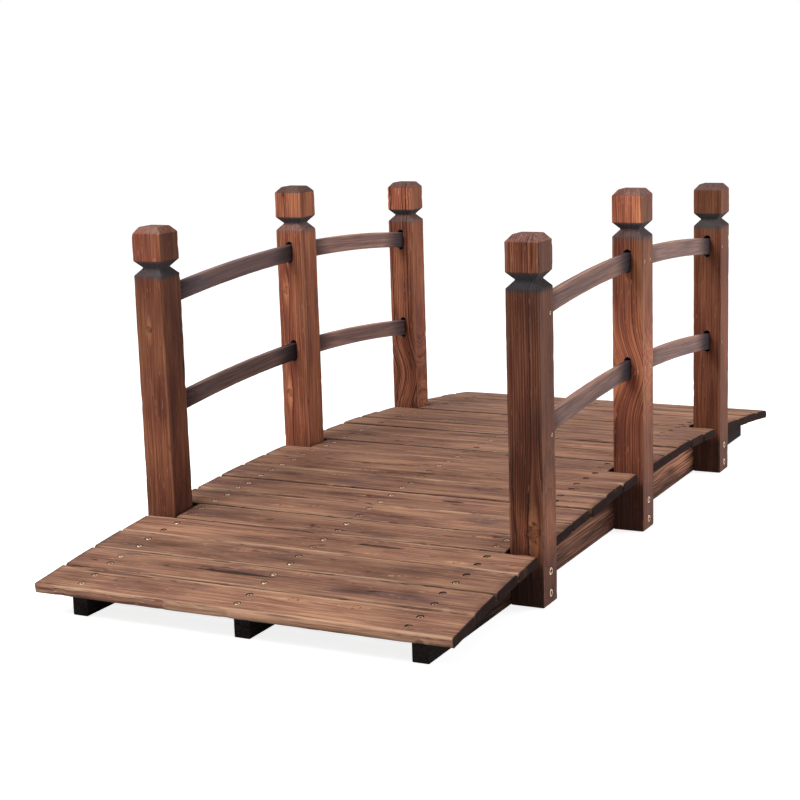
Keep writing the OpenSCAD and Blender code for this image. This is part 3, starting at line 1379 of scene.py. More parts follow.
@dataclass
class Deck:
    """The walking surface: cross planks side by side on a bow, two screws over each stringer.

    Towards the back the planks are paler and their joints darker and wider, as the fades by number say.
    screw_sinks are the depths in millimetres that heads are sunk to, in the rows from right to left.
    """

    length: float = 1500 * MM
    crown: float = 99 * MM
    rise: float = 50 * MM
    count: int = 21
    gap: float = 1 * MM
    thickness: float = 14 * MM
    screw_row: float = 16 * MM
    outer_screw: float = 260 * MM
    screw_radius: float = 4.0 * MM
    screw_scatter: float = 2.6 * MM
    screw_sinks: tuple[tuple[float, ...], ...] = ((0.8, 1.3, 1.9), (0.3, 0.5, 0.9), (0.2, 0.4, 0.8))
    screw_room: float = 0.7 * MM
    screw_seat: float = 1.3 * MM
    screw_mouth: tuple[float, float] = (1.0 * MM, 0.8 * MM)
    screw_floor: float = 0.92
    end_scatter: tuple[float, float] = (-3.4 * MM, 0.8 * MM)
    thickness_scatter: float = 0.8 * MM
    cup: float = 0.6 * MM
    long_side: Uneven = Uneven(0.5 * MM, 0.7 * MM, 2.2 * MM)
    under_arris: Uneven = Uneven(1.6 * MM, 0.4 * MM)
    upper_arris: Uneven = Uneven(2.2 * MM, 1.0 * MM, 2.0 * MM)
    far: Fade = Fade(1.0, 8, 13)
    far_tone: Fade = Fade(0.14, 8, 14)
    joint_depths: tuple[float, float] = (0.75, 0.5)
    joint_reaches: tuple[float, float] = (5 * MM, 9 * MM)
    wane: float = 2.5 * MM
    step: float = 5 * MM
    shift_step: float = 7.3
    seed: int = 11
    planks: list[Plank] = field(default_factory=list)

    @property
    def bow(self) -> Bow:
        """The bow of the walking surface."""
        return Bow(self.length / 2, self.rise, self.crown)

    @property
    def plank_angle(self) -> float:
        """Turn from one plank to the next."""
        return 2 * math.asin((self.length + self.gap) / 2 / self.bow.radius) / self.count

    @property
    def seat_radius(self) -> float:
        """Radius of the bow at the planks' undersides."""
        return self.bow.radius - self.thickness

    @property
    def centre_z(self) -> float:
        """Height of the bow's middle."""
        return self.crown - self.bow.radius

    def screw_holes(self, draw: np.random.Generator) -> list[Hole]:
        """Countersunk holes of one plank, a little off their marks; those on the right are sunk deepest.

        Args:
            draw: source of random numbers.

        Returns:
            Two holes over each of the three stringers.
        """
        holes = []
        for along, sinks in zip((-self.outer_screw, 0.0, self.outer_screw), self.screw_sinks):
            for across in (-self.screw_row, self.screw_row):
                scatter = draw.uniform(-1, 1, 2) * self.screw_scatter
                sink = draw.choice(sinks) * MM
                hole = Hole(
                    Side.Q_HIGH,
                    across + scatter[0],
                    along + scatter[1],
                    radius=self.screw_radius + self.screw_room,
                    depth=sink + self.screw_seat,
                    mouth=self.screw_mouth,
                    floor_share=self.screw_floor,
                    head=self.screw_radius,
                    sink=sink,
                )
                holes.append(hole)
        return holes

    def grain(self, number: int, draw: np.random.Generator) -> Grain:
        """Grain of one plank, sawn beside the pith, with its marks.

        Args:
            number: the plank's number.
            draw: source of random numbers.

        Returns:
            The plank's grain.
        """
        ways = draw.choice([-1, 1], 2)
        pith = (ways[0] * draw.uniform(*PITH_ASIDE) * MM, ways[1] * draw.uniform(*PITH_HEIGHT) * MM)
        spots = DECK_KNOTS.get(number) or draw.uniform(*KNOT_RANGE, (2, 3))
        knots = tuple(Mark(*(value * MM for value in spot)) for spot in spots)
        crack = Mark(*(value * MM for value in DECK_CRACKS[number])) if number in DECK_CRACKS else None
        tone, stripe, film = draw.uniform(*PLANK_STYLES)
        tone *= 1 + float(self.far_tone.at(number))
        return Grain(pith, number * self.shift_step, tone, stripe, film, knots, crack)

    def smudges(self, number: int, draw: np.random.Generator) -> Array:
        """Dark stains of one plank as rows; planks without their own get three at random.

        Args:
            number: the plank's number.
            draw: source of random numbers.

        Returns:
            Place along and across, half length, half width and depth of each stain.
        """
        drawn = draw.uniform(*SMUDGE_RANGE, (3, 5))
        return np.array(DECK_SMUDGES.get(number, drawn)) * (MM, MM, MM, MM, 1)

    def build(self) -> None:
        """Makes the planks, taking their lengths from the frame."""
        width = 2 * self.bow.radius * math.tan(self.plank_angle / 2) - self.gap
        for number in range(1, self.count + 1):
            node = f"plank_{number:02d}"
            draw = np.random.default_rng(self.seed * SEED_STEP + number)
            low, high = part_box(node)
            far = float(self.far.at(number))
            shift = draw.uniform(*self.end_scatter, 2)
            seeds = draw.integers(*SEED_RANGE, 6).tolist()
            kinds = [self.long_side] * 2 + [self.under_arris] * 2 + [self.upper_arris] * 2
            front, back, *arrises = (replace(kind, seed=seed) for kind, seed in zip(kinds, seeds))
            plain = self.joint_depths[0] + self.joint_depths[1] * far
            plank = Plank(
                name=f"deck_board_{number:02d}",
                node=node,
                start=low.y - shift[0],
                end=high.y + shift[1],
                width=width,
                height=self.thickness + draw.uniform(-1, 1) * self.thickness_scatter,
                corner=self.upper_arris.base,
                arrises=tuple(arrises),
                grain=self.grain(number, draw),
                holes=self.screw_holes(draw),
                step=self.step,
                turn=(number - (self.count + 1) / 2) * self.plank_angle,
                centre_z=self.centre_z,
                seat_radius=self.seat_radius,
                cup=draw.uniform(-1, 1) * self.cup,
                front_edge=front,
                back_edge=back,
                joints=(JOINT_DEPTHS.get(number - 1, plain), JOINT_DEPTHS.get(number, plain)),
                joint_reach=self.joint_reaches[0] + self.joint_reaches[1] * far,
                wane=self.wane * ((number > 1) + far),
                smudges=self.smudges(number, draw),
            )
            self.planks.append(plank)

    def dress(self, material: bpy.types.Material) -> None:
        """Builds each plank's mesh and dresses it."""
        for plank in self.planks:
            attach(plank.build(), material, "deck_wood", plank.node)


@dataclass
class LongBoard(Board):
    """Board that runs along the bridge: t runs along the bridge, p to the left and q up."""

    centre_y: float = 0.0

    def place(self, p: Array, q: Array, t: Array) -> Array:
        """Sets the board at its distance from the centre line."""
        return np.column_stack([t, self.centre_y + p, q])


@dataclass
class Stringer(LongBoard):
    """Board on edge under the planks, with a seat for each of them."""

    seats_x: Array = field(default_factory=lambda: np.zeros(1))
    seats_z: Array = field(default_factory=lambda: np.zeros(1))
    sawn_end: Fade = Fade(1.0, 26 * MM, 0.0)
    near_end: Fade = Fade(0.95, 330 * MM, 140 * MM)
    underside: Fade = Fade(0.45, 20 * MM, 0.0)
    front_shade: float = 0.95
    back_gain: float = 0.75

    def section(self, t: Array) -> Section:
        """Level underneath, with a flat seat on top for every plank."""
        half, top = np.full_like(t, self.width / 2), np.interp(t, self.seats_x, self.seats_z)
        return Section(-half, half, np.zeros_like(t), top, self.radii(t))

    def scorch(self, p: Array, q: Array, t: Array) -> Array:
        """Black on the sawn ends, dark for a stretch beside them, and darker underneath."""
        left = self.end_distance(t)
        return np.maximum.reduce([self.sawn_end.at(left), self.near_end.at(left), self.underside.at(q)])

    def shade(self, out_p: Array, out_q: Array, t: Array) -> Array:
        """Paler towards the back."""
        return self.front_shade + self.back_gain * smooth_step(0.0, self.end, t)

    def marks(self) -> list[float]:
        """The corners between the seats."""
        return self.seats_x.tolist()


# Where the pith lies beside each stringer, in millimetres to the left and up.
STRINGER_PITHS = {"left": (20, -60), "centre": (-30, 140), "right": (34, 96)}


@dataclass
class Stringers:
    """The three boards that carry the deck."""

    deck: Deck
    corner: float = 1.6 * MM
    film: float = 0.8
    first_shift: float = 300.0
    shift_step: float = 9.1
    boards: list[Stringer] = field(default_factory=list)

    def seat_corners(self, end: float) -> tuple[Array, Array]:
        """Corners between the flat seats: where the undersides of neighbouring planks would meet.

        Args:
            end: where the stringer ends.

        Returns:
            x and z of the corners, from end to end.
        """
        deck = self.deck
        half_count = (deck.count - 1) // 2
        turns = (np.arange(-half_count, half_count) + 0.5) * deck.plank_angle
        corner_radius = deck.seat_radius / math.cos(deck.plank_angle / 2)
        last = half_count * deck.plank_angle
        end_z = deck.centre_z + (deck.seat_radius - end * math.sin(last)) / math.cos(last)
        x = np.concatenate([[-end], corner_radius * np.sin(turns), [end]])
        z = np.concatenate([[end_z], deck.centre_z + corner_radius * np.cos(turns), [end_z]])
        return x, z

    def build(self) -> None:
        """Makes the stringers, taking their places from the frame."""
        for number, (place, pith) in enumerate(STRINGER_PITHS.items()):
            low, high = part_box(f"stringer_{place}")
            x, z = self.seat_corners(high.x)
            shift = self.first_shift + number * self.shift_step
            grain = Grain((pith[0] * MM, pith[1] * MM), shift, film=self.film)
            board = Stringer(
                name=f"stringer_board_{place}",
                node=f"stringer_{place}",
                start=low.x,
                end=high.x,
                width=high.y - low.y,
                height=high.z - low.z,
                corner=self.corner,
                arrises=(Uneven(self.corner),) * 4,
                grain=grain,
                centre_y=(low.y + high.y) / 2,
                seats_x=x,
                seats_z=z,
            )
            self.boards.append(board)

    def dress(self, material: bpy.types.Material) -> None:
        """Builds each stringer's mesh and dresses it."""
        for board in self.boards:
            attach(board.build(), material, "stringer_wood", board.node)


@dataclass(frozen=True)
class PostStyle:
    """What sets one post's wood apart, with lengths in millimetres.

    tone, right and cap scale the colour of the whole post, of its right side and of its cap's front and
    back, and top is that of the chamfer round its top; right holds painted light as well as the side's own
    colour. neck says how deep the groove is scorched. glow is a paler stretch and swerve a stretch where the
    grain bends aside, each as a height, a length and an amount.
    Knots and the crack have a height, a place across the front and a size.
    """

    pith: tuple[float, float]
    tone: float = 1.0
    stripe: float = 1.0
    right: float = 1.0
    cap: float = 1.3
    glow: tuple[float, float, float] = (0, 1, 0)
    swerve: tuple[float, float, float] = (0, 1, 0)
    knots: tuple[tuple[float, float, float], ...] = ()
    crack: tuple[float, float, float] | None = None
    neck: float = 0.7
    top: float = 1.2

    def grain(self, shift: float) -> Grain:
        """Works out the grain of a post.

        Args:
            shift: what keeps it apart from the other posts.

        Returns:
            The grain, with its knots and its crack.
        """
        marks = tuple(Mark(*(value * MM for value in knot), True) for knot in self.knots)
        crack = Mark(*(value * MM for value in self.crack), True) if self.crack else None
        pith = (self.pith[0] * MM, self.pith[1] * MM)
        return Grain(pith, shift, self.tone, self.stripe, knots=marks, crack=crack)


POST_STYLES = {
    "left_front": PostStyle(
        pith=(140, 60),
        tone=0.53,
        stripe=0.3,
        right=0.76,
        cap=1.8,
        glow=(200, 70, 0.25),
        knots=((371, 2.5, 4.0),),
        neck=0.8,
        top=2.16,
    ),
    "left_middle": PostStyle(
        pith=(10, -120),
        tone=1.1,
        stripe=0.8,
        right=0.78,
        cap=1.05,
        knots=((375, 10.7, 4.5), (192, 10, 5.0), (430, 6, 3.5)),
        crack=(541, 8, 5),
        neck=0.45,
        top=0.58,
    ),
    "left_back": PostStyle(
        pith=(0, -110),
        tone=0.87,
        stripe=1.7,
        cap=1.8,
        swerve=(150, 55, 22),
        crack=(512, 21, 7),
        neck=0.5,
        top=1.0,
    ),
    "right_front": PostStyle(
        pith=(0, 120),
        tone=0.38,
        stripe=1.15,
        right=1.15,
        cap=1.85,
        glow=(108, 32, 0.55),
        knots=((108, -12.5, 9.5),),
        crack=(503, -15, 30),
        neck=0.9,
        top=3.05,
    ),
    "right_middle": PostStyle(
        pith=(20, -130),
        tone=0.69,
        stripe=0.6,
        right=0.77,
        cap=2.3,
        glow=(280, 90, 1.05),
        swerve=(262, 48, 20),
        neck=0.58,
        top=1.7,
    ),
    "right_back": PostStyle(
        pith=(-130, 60),
        tone=0.52,
        stripe=0.3,
        right=0.86,
        cap=0.76,
        glow=(265, 70, 0.25),
        top=1.4,
    ),
}


def bell(t: Array, stretch: tuple[float, float, float]) -> Array:
    """Bell curve along a board: amount x e^-((t - height) / length)^2.

    Args:
        t: places along the board.
        stretch: height and length in millimetres, and the amount.

    Returns:
        The curve's value at each place.
    """
    height, length, amount = stretch
    return amount * np.exp(-np.square((t - height * MM) / (length * MM)))


@dataclass
class Post(Board):
    """Square post: p runs along the bridge, q to the left and t up.

    Its outline gives half its width by height. The groove's root lies at groove_t, the chamfer starts at
    chamfer_t and the deck's underside meets the post at deck_t. The fades of the shoulder, the chamfer and
    the foot are measured from those heights, and those of the cap in halves of the groove.
    """

    centre: tuple[float, float] = (0.0, 0.0)
    outline_t: Array = field(default_factory=lambda: np.zeros(1))
    outline_half: Array = field(default_factory=lambda: np.zeros(1))
    groove_t: float = 0.0
    groove_half: float = 0.0
    chamfer_t: float = 0.0
    deck_t: float = 0.0
    style: PostStyle = PostStyle((0, 0))
    shoulder: Fade = Fade(1.0, -12 * MM, 3 * MM)
    cap_side: Fade = Fade(1.0, 1.15, 0.7)
    cap_lip: Fade = Fade(1.0, 1.1, 0.8)
    groove_root: Fade = Fade(1.0, -0.3, 0.2)
    chamfer: Fade = Fade(1.0, -1 * MM, 0.5 * MM)
    foot: Fade = Fade(1.0, 2 * MM, -14 * MM)
    # The cap's underside and the foot under the deck are darkened with the char colour and a lower colour
    # factor, partly scorch and partly painted shade; the chamfer is greyed with the char colour.
    underside_char_and_shade: float = 0.88
    chamfer_grey: float = 0.42
    foot_char_and_shade: float = 0.3
    underside_shade: float = 0.45
    foot_shade: float = 0.45
    end_shade: float = 0.7

    def section(self, t: Array) -> Section:
        """Square of the outline's half width."""
        half = np.interp(t, self.outline_t, self.outline_half)
        return Section(-half, half, -half, half, self.radii(t))

    def place(self, p: Array, q: Array, t: Array) -> Array:
        """Stands the post on its spot."""
        return np.column_stack([self.centre[0] + p, self.centre[1] + q, t])

    def grain_place(self, p: Array, q: Array, t: Array) -> Array:
        """Place in the wood, with the stretch where the grain bends aside along a bell curve."""
        return super().grain_place(p, q + bell(t, self.style.swerve) * MM, t)

    def scorch(self, p: Array, q: Array, t: Array) -> Array:
        """Scorches the groove, fading on the shaft and the cap's slopes; darkens the cap's underside and the
        foot under the deck with the char colour, partly as scorch and partly as painted shade; greys the
        chamfer.

        Args:
            p, q, t: places on the post's own axes.

        Returns:
            How scorched the skin is at each point, from 0 to 1.
        """
        above = t - self.groove_t
        shaft = self.shoulder.at(above + self.groove_half)
        cap = self.cap_side.at(above / self.groove_half)
        levels = [
            self.style.neck * np.minimum(shaft, cap),
            self.underside_char_and_shade * self.under_cap(t),
            self.chamfer_grey * self.on_chamfer(t),
            self.foot_char_and_shade * self.under_deck(t),
        ]
        return np.maximum.reduce(levels)

    def under_cap(self, t: Array) -> Array:
        """1 on the cap's sloping underside and 0 above and below it."""
        above = (t - self.groove_t) / self.groove_half
        return self.cap_lip.at(above) * self.groove_root.at(above)

    def on_chamfer(self, t: Array) -> Array:
        """1 on the chamfer round the top and 0 below it."""
        return self.chamfer.at(t - self.chamfer_t)

    def under_deck(self, t: Array) -> Array:
        """1 below the deck's underside and 0 above it."""
        return self.foot.at(t - self.deck_t)

    def shade(self, out_p: Array, out_q: Array, t: Array) -> Array:
        """Factor on the colour, blended round the arrises by the square of the way that a side faces.

        The right side, the cap, the pale stretch and the chamfer have brightnesses of their own; the right
        side's is partly its own colour and partly painted light. The cap's underside takes a fixed dark
        level and the foot's front and back under the deck are darker, both painted shade. End grain is
        darker, since it soaks up more staining.

        Args:
            out_p, out_q: the way out of the skin.
            t: heights.

        Returns:
            Factor on the colour.
        """
        style = self.style
        # The right side's factor is partly its own colour and partly painted light.
        right = (style.right - 1) * np.square(np.clip(-out_q, 0, 1))
        rise = smooth_step(self.groove_t, self.groove_t + self.groove_half, t)
        cap = (style.cap - 1) * rise * np.square(out_p)
        # Painted shade on the foot's front and back under the deck.
        low = self.foot_shade * self.under_deck(t) * np.square(out_p)
        depth = (1 + right) * (1 + cap) * (1 + bell(t, style.glow)) * (1 - low)
        # The chamfer has its own brightness; the cap's underside gets a fixed dark level, painted shade.
        for share, own in (
            (self.on_chamfer(t), style.top * (1 + right)),
            (self.under_cap(t), self.underside_shade / style.tone),
        ):
            depth = depth * (1 - share) + own * share
        end_grain = np.hypot(out_p, out_q) < 0.5
        return depth * np.where(end_grain, self.end_shade, 1.0)

    def marks(self) -> list[float]:
        """The outline's own heights."""
        return self.outline_t.tolist()


@dataclass
class Rail(LongBoard):
    """Arched rail sawn from a straight board."""

    bow: Bow = Bow(1.0, 0.1, 0.0)
    near_end: Fade = Fade(0.75, 125 * MM, 20 * MM)
    # Painted light: the top face is paler, partly from wear.
    top_gain: float = 0.6

    def section(self, t: Array) -> Section:
        """Rounds a board whose middle line follows the bow.

        Args:
            t: places along the rail.

        Returns:
            The sections there.
        """
        middle = self.bow.height(t)
        half_p = np.full_like(t, self.width / 2)
        half_q = self.height / 2 / np.cos(self.bow.slope(t))
        return Section(-half_p, half_p, middle - half_q, middle + half_q, self.radii(t))

    def scorch(self, p: Array, q: Array, t: Array) -> Array:
        """Scorched towards both ends."""
        return self.near_end.at(self.end_distance(t))

    def shade(self, out_p: Array, out_q: Array, t: Array) -> Array:
        """Paler on top: partly wear, partly painted light from above."""
        return 1 + self.top_gain * np.square(np.clip(out_q, 0, 1))

    def grain_place(self, p: Array, q: Array, t: Array) -> Array:
        """Place in the wood, whose grain runs straight from end to end."""
        ends = self.bow.height(np.array([self.start, self.end]))
        return super().grain_place(p, q - np.interp(t, (self.start, self.end), ends), t)


# Tone, stripe and film of each rail; the film is partly bloom and partly painted reflection.
RAIL_STYLES = {
    ("left", "front", "lower"): (0.85, 0.5, 1.2),
    ("left", "front", "upper"): (1.05, 0.4, 2.4),
    ("left", "back", "lower"): (1.4, 0.8, 0.8),
    ("left", "back", "upper"): (1.75, 0.8, 0.7),
    ("right", "front", "lower"): (1.1, 0.8, 0.5),
    ("right", "front", "upper"): (1.15, 0.8, 0.5),
    ("right", "back", "lower"): (1.2, 0.6, 1.0),
    ("right", "back", "upper"): (1.35, 0.6, 1.2),
}


@dataclass
class Railing:
    """Six grooved posts and the arched rails between them.

    The depths are those of the rails' middle lines under the posts' tops. bend is how far from a corner of a
    post's outline its curve starts. rail_screw and base_screw are patterns of the screw holes in a post.
    """

    deck: Deck
    groove_height: float = 22.5 * MM
    groove_depth: float = 10.5 * MM
    cap_height: float = 42 * MM
    chamfer_height: float = 10 * MM
    chamfer_inset: float = 8.5 * MM
    bend: float = 1.1 * MM
    upper_depth: float = 114 * MM
    lower_depth: float = 287 * MM
    rail_width: float = 29 * MM
    mortise_depth: float = 18 * MM
    mortise_side_gap: float = 0.25 * MM
    mortise_headroom: float = 2.5 * MM
    mortise_lip: float = 0.7 * MM
    mortise_block: float = 5 * MM
    mortise_parts: int = 8
    rail_screw: Hole = Hole(
        Side.Q_LOW,
        15 * MM,
        0.0,
        radius=3.25 * MM,
        depth=1.6 * MM,
        floor_share=0.9,
        block=(6 * MM, 6 * MM),
        head=3.0 * MM,
        sink=0.5 * MM,
    )
    base_screw: Hole = Hole(
        Side.Q_LOW,
        4 * MM,
        0.0,
        radius=6.1 * MM,
        depth=2.2 * MM,
        mouth=(0.9 * MM, 0.6 * MM),
        floor_share=0.9,
        block=(10 * MM, 10 * MM),
        head=5.8 * MM,
        sink=0.3 * MM,
    )
    middle_screw_aside: float = 13 * MM
    base_screw_heights: tuple[float, float] = (15 * MM, 47 * MM)
    post_arris: Uneven = Uneven(1.6 * MM, 0.8 * MM, 3.2 * MM)
    rail_arris: Uneven = Uneven(2.5 * MM, 0.5 * MM, 0.8 * MM)
    post_end_ease: float = 1.2 * MM
    post_step: float = 4 * MM
    rail_step: float = 8 * MM
    first_post_shift: float = 100.0
    post_shift_step: float = 8.7
    first_rail_shift: float = 200.0
    rail_shift_step: float = 6.1
    rail_pith_aside: float = 30.0
    rail_pith_height: tuple[float, float] = (30, 70)
    bend_parts: int = 4
    seed: int = 23
    posts: list[Post] = field(default_factory=list)
    rails: list[Rail] = field(default_factory=list)

    def bow(self, depth: float) -> Bow:
        """Works out the bow of the rails at one level.

        Args:
            depth: how far their middle line lies under the posts' tops.

        Returns:
            The bow through the middle posts and the end posts.
        """
        end_low, end_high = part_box("post_left_back")
        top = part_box("post_left_middle")[1].z
        return Bow((end_low.x + end_high.x) / 2, top - end_high.z, top - depth)

    def outline(self, height: float, half: float) -> tuple[Array, Array]:
        """Post's outline from foot to top, each corner bent along a parabola between two points beside it.

        Args:
            height: height of the post.
            half: half its width.

        Returns:
            Heights and half widths.
        """
        cap_top = height - self.chamfer_height
        cap_bottom = cap_top - self.cap_height
        groove_low = cap_bottom - self.groove_height
        groove_mid = cap_bottom - self.groove_height / 2
        corners = np.array(
            [
                [0, half],
                [groove_low, half],
                [groove_mid, half - self.groove_depth],
                [cap_bottom, half],
                [cap_top, half],
                [height, half - self.chamfer_inset],
            ]
        )
        before, bend, after = corners[:-2], corners[1:-1], corners[2:]
        first = bend + self.bend * (before - bend) / np.linalg.norm(before - bend, axis=1, keepdims=True)
        last = bend + self.bend * (after - bend) / np.linalg.norm(after - bend, axis=1, keepdims=True)
        share = np.linspace(0, 1, self.bend_parts + 1)[:, None]
        rest = 1 - share
        curves = first[:, None] * rest ** 2 + bend[:, None] * 2 * share * rest + last[:, None] * share ** 2
        points = np.vstack([corners[:1], curves.reshape(-1, 2), corners[-1:]])
        return points[:, 0], points[:, 1]

    def mortise(self, face: int, height: float, slope: float) -> Hole:
        """Slot for a rail's end: as tall as the sloping rail, with room above, under and beside it.

        Args:
            face: 1 for the side towards the back, -1 for the side towards the front.
            height: height of the rail's middle line in the mortise.
            slope: angle of its slope there.

        Returns:
            The mortise.
        """
        rail_low, rail_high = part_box("rail_left_front_upper")
        thickness, gap = rail_high.y - rail_low.y, self.mortise_side_gap
        flat_half = thickness / 2 - self.rail_arris.base
        seat_gap = flat_half + gap - math.sqrt(flat_half * gap + (gap / 2) ** 2)
        rail_height = self.rail_width / math.cos(slope) + self.mortise_depth * math.tan(slope)
        slot_height = rail_height + self.mortise_headroom + 2 * seat_gap
        slot_width = thickness + 2 * gap
        return Hole(
            Side.P_HIGH if face > 0 else Side.P_LOW,
            0.0,
            height + self.mortise_headroom / 2,
            radius=slot_width / 2,
            depth=self.mortise_depth,
            slot=(slot_height - slot_width) / 2,
            mouth=(self.mortise_lip, self.mortise_lip),
            block=(slot_width / 2 + self.mortise_block, slot_height / 2 + self.mortise_block),
            parts=self.mortise_parts,
            hollow_shade=1.0,
        )

    def post_holes(self, end: int, left: bool, centre_x: float, width: float) -> list[Hole]:
        """Mortises towards the bays, rail screws beside them and two base screws, on the outer side.

        Args:
            end: -1 at the front, 0 at mid-span and 1 at the back.
            left: whether the post stands on the left.
            centre_x: the post's place along the bridge.
            width: the post's width.

        Returns:
            The post's holes.
        """
        outer, way = (Side.Q_HIGH, -1) if left else (Side.Q_LOW, 1)
        aside = self.rail_screw.across if end else self.middle_screw_aside
        holes = []
        for depth in (self.upper_depth, self.lower_depth):
            bow = self.bow(depth)
            for face in (-end,) if end else (-1, 1):
                seat_x = centre_x + face * (width - self.mortise_depth) / 2
                height, slope = float(bow.height(seat_x)), float(bow.slope(seat_x))
                screw = replace(self.rail_screw, side=outer, across=way * face * aside, along=height)
                holes += [self.mortise(face, height, slope), screw]
        across = way * self.base_screw.across
        for height in self.base_screw_heights:
            holes.append(replace(self.base_screw, side=outer, across=across, along=height))
        return holes

    def build_posts(self) -> None:
        """Makes the posts, taking their places and heights from the frame."""
        for number, (name, style) in enumerate(POST_STYLES.items()):
            side, place = name.split("_")
            low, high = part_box(f"post_{name}")
            width = high.x - low.x
            centre = ((low.x + high.x) / 2, (low.y + high.y) / 2)
            end = {"front": -1, "middle": 0, "back": 1}[place]
            heights, halves = self.outline(high.z, width / 2)
            seeds = range(self.seed + 4 * number, self.seed + 4 * number + 4)
            post = Post(
                name=f"post_wood_{name}",
                node=f"post_{name}",
                start=low.z,
                end=high.z,
                width=width,
                height=high.y - low.y,
                corner=self.post_arris.base,
                arrises=tuple(replace(self.post_arris, seed=seed) for seed in seeds),
                grain=style.grain(self.first_post_shift + number * self.post_shift_step),
                holes=self.post_holes(end, side == "left", centre[0], width),
                end_ease=self.post_end_ease,
                step=self.post_step,
                centre=centre,
                outline_t=heights,
                outline_half=halves,
                groove_t=high.z - self.chamfer_height - self.cap_height - self.groove_height / 2,
                groove_half=self.groove_height / 2,
                chamfer_t=high.z - self.chamfer_height,
                deck_t=float(self.deck.bow.height(centre[0])) - self.deck.thickness,
                style=style,
            )
            self.posts.append(post)

    def build_rails(self) -> None:
        """Makes the rails, taking their ends and thickness from the frame."""
        for number, ((side, bay, level), style) in enumerate(RAIL_STYLES.items()):
            node = f"rail_{side}_{bay}_{level}"
            draw = np.random.default_rng(self.seed * SEED_STEP + number)
            low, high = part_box(node)
            aside = draw.uniform(-1, 1) * self.rail_pith_aside
            pith = (aside * MM, draw.choice([-1, 1]) * draw.uniform(*self.rail_pith_height) * MM)
            grain = Grain(pith, self.first_rail_shift + number * self.rail_shift_step, *style)
            seeds = draw.integers(*SEED_RANGE, 4).tolist()
            rail = Rail(
                name=f"rail_wood_{side}_{bay}_{level}",
                node=node,
                start=low.x,
                end=high.x,
                width=high.y - low.y,
                height=self.rail_width,
                corner=self.rail_arris.base,
                arrises=tuple(replace(self.rail_arris, seed=seed) for seed in seeds),
                grain=grain,
                step=self.rail_step,
                centre_y=(low.y + high.y) / 2,
                bow=self.bow(self.upper_depth if level == "upper" else self.lower_depth),
            )
            self.rails.append(rail)

    def dress(self, post_material: bpy.types.Material, rail_material: bpy.types.Material) -> None:
        """Builds the meshes of the posts and rails and dresses them.

        Args:
            post_material, rail_material: their finishes.
        """
        for post in self.posts:
            attach(post.build(), post_material, "post_wood", post.node)
        for rail in self.rails:
            attach(rail.build(), rail_material, "rail_wood", rail.node)


@dataclass
class Screws:
    """Countersunk heads with a cross recess, joined into one mesh for each kind of screw.

    The sizes are in radii of the head. The recess narrows to floor_scale and its middle dips by floor_dip.
    """

    arm: float = 0.6
    arm_half: float = 0.2
    recess: float = 0.35
    floor_scale: float = 0.86
    floor_dip: float = 1.15
    bevel: float = 0.1
    depth: float = 0.3
    bevel_shade: float = 0.2
    mouth_stain_and_shade: float = 0.75
    seed: int = 5

    def head(self) -> tuple[Array, Array, Array]:
        """One head of radius 1, as rings from the rim over the crown to the cross, then its walls and floor.

        Returns:
            Points, with the top at height 0, the quads, and how dark each point is: staining, with painted
            shade on the rim and in the recess.
        """
        long, short = self.arm, self.arm_half
        quarter = np.array([[long, -short], [long, short], [short, short]])
        turns = np.arange(4) * math.pi / 2
        cosine, sine = np.cos(turns), np.sin(turns)
        spin = np.stack([cosine, -sine, sine, cosine], axis=-1).reshape(4, 2, 2)
        cross = np.einsum("kij,nj->kni", spin, quarter).reshape(-1, 2)
        circle = cross / np.linalg.norm(cross, axis=1, keepdims=True)
        # Painted shade: the rim and bevel round the head, the cross's edge and the recess are marked dark,
        # the recess partly as staining.
        layers = (
            (circle, -self.depth, 1.0),
            (circle, -self.bevel, self.bevel_shade),
            (circle * (1 - self.bevel), 0.0, 0.0),
            (cross, 0.0, self.mouth_stain_and_shade),
            (cross * self.floor_scale, -self.recess, 1.0),
            (cross * 0.0, -self.recess * self.floor_dip, 1.0),
        )
        points = np.vstack([np.column_stack([flat, np.full(len(flat), z)]) for flat, z, _ in layers])
        stain_and_shade = np.repeat([share for _, _, share in layers], len(cross))
        rows = np.arange(len(points)).reshape(len(layers), -1)
        ahead = np.roll(rows, -1, axis=1)
        quads = np.stack([rows[:-1], ahead[:-1], ahead[1:], rows[1:]], axis=-1).reshape(-1, 4)
        return points, quads, stain_and_shade

    def build(self, name: str, boards: Sequence[Board], radius: float) -> bpy.types.Object:
        """Sets a head in every screw hole for heads of one radius, each turned at random.

        Args:
            name: the piece's name.
            boards: boards whose holes are looked through.
            radius: radius of the heads.

        Returns:
            The joined heads.
        """
        places = [board.seat(hole) for board in boards for hole in board.holes if hole.head == radius]
        seat, out = (np.array(values) for values in zip(*places))
        draw = np.random.default_rng(self.seed)
        first = np.cross(out, (1.0, 0.0, 0.0))
        first /= np.linalg.norm(first, axis=1, keepdims=True)
        second = np.cross(out, first)
        spin = draw.uniform(0, math.pi / 2, len(places))[:, None]
        across = first * np.cos(spin) + second * np.sin(spin)
        up = np.cross(out, across)
        points, quads, stain_and_shade = self.head()
        axes = np.stack([across, up, out], axis=1) * radius
        heads = seat[:, None] + np.einsum("nk,mkj->mnj", points, axes)
        faces = quads[None] + (np.arange(len(places)) * len(points))[:, None, None]
        state = np.tile(stain_and_shade, len(places))[:, None] * (1, 0, 0)
        return mesh_object(name, heads.reshape(-1, 3), faces.reshape(-1, 4), {"state": state})


@dataclass(frozen=True)
class Lamp:
    """Square soft lamp that faces the bridge: its place, the length of its side and its power in watts."""

    name: str
    place: tuple[float, float, float]
    size: float
    power: float


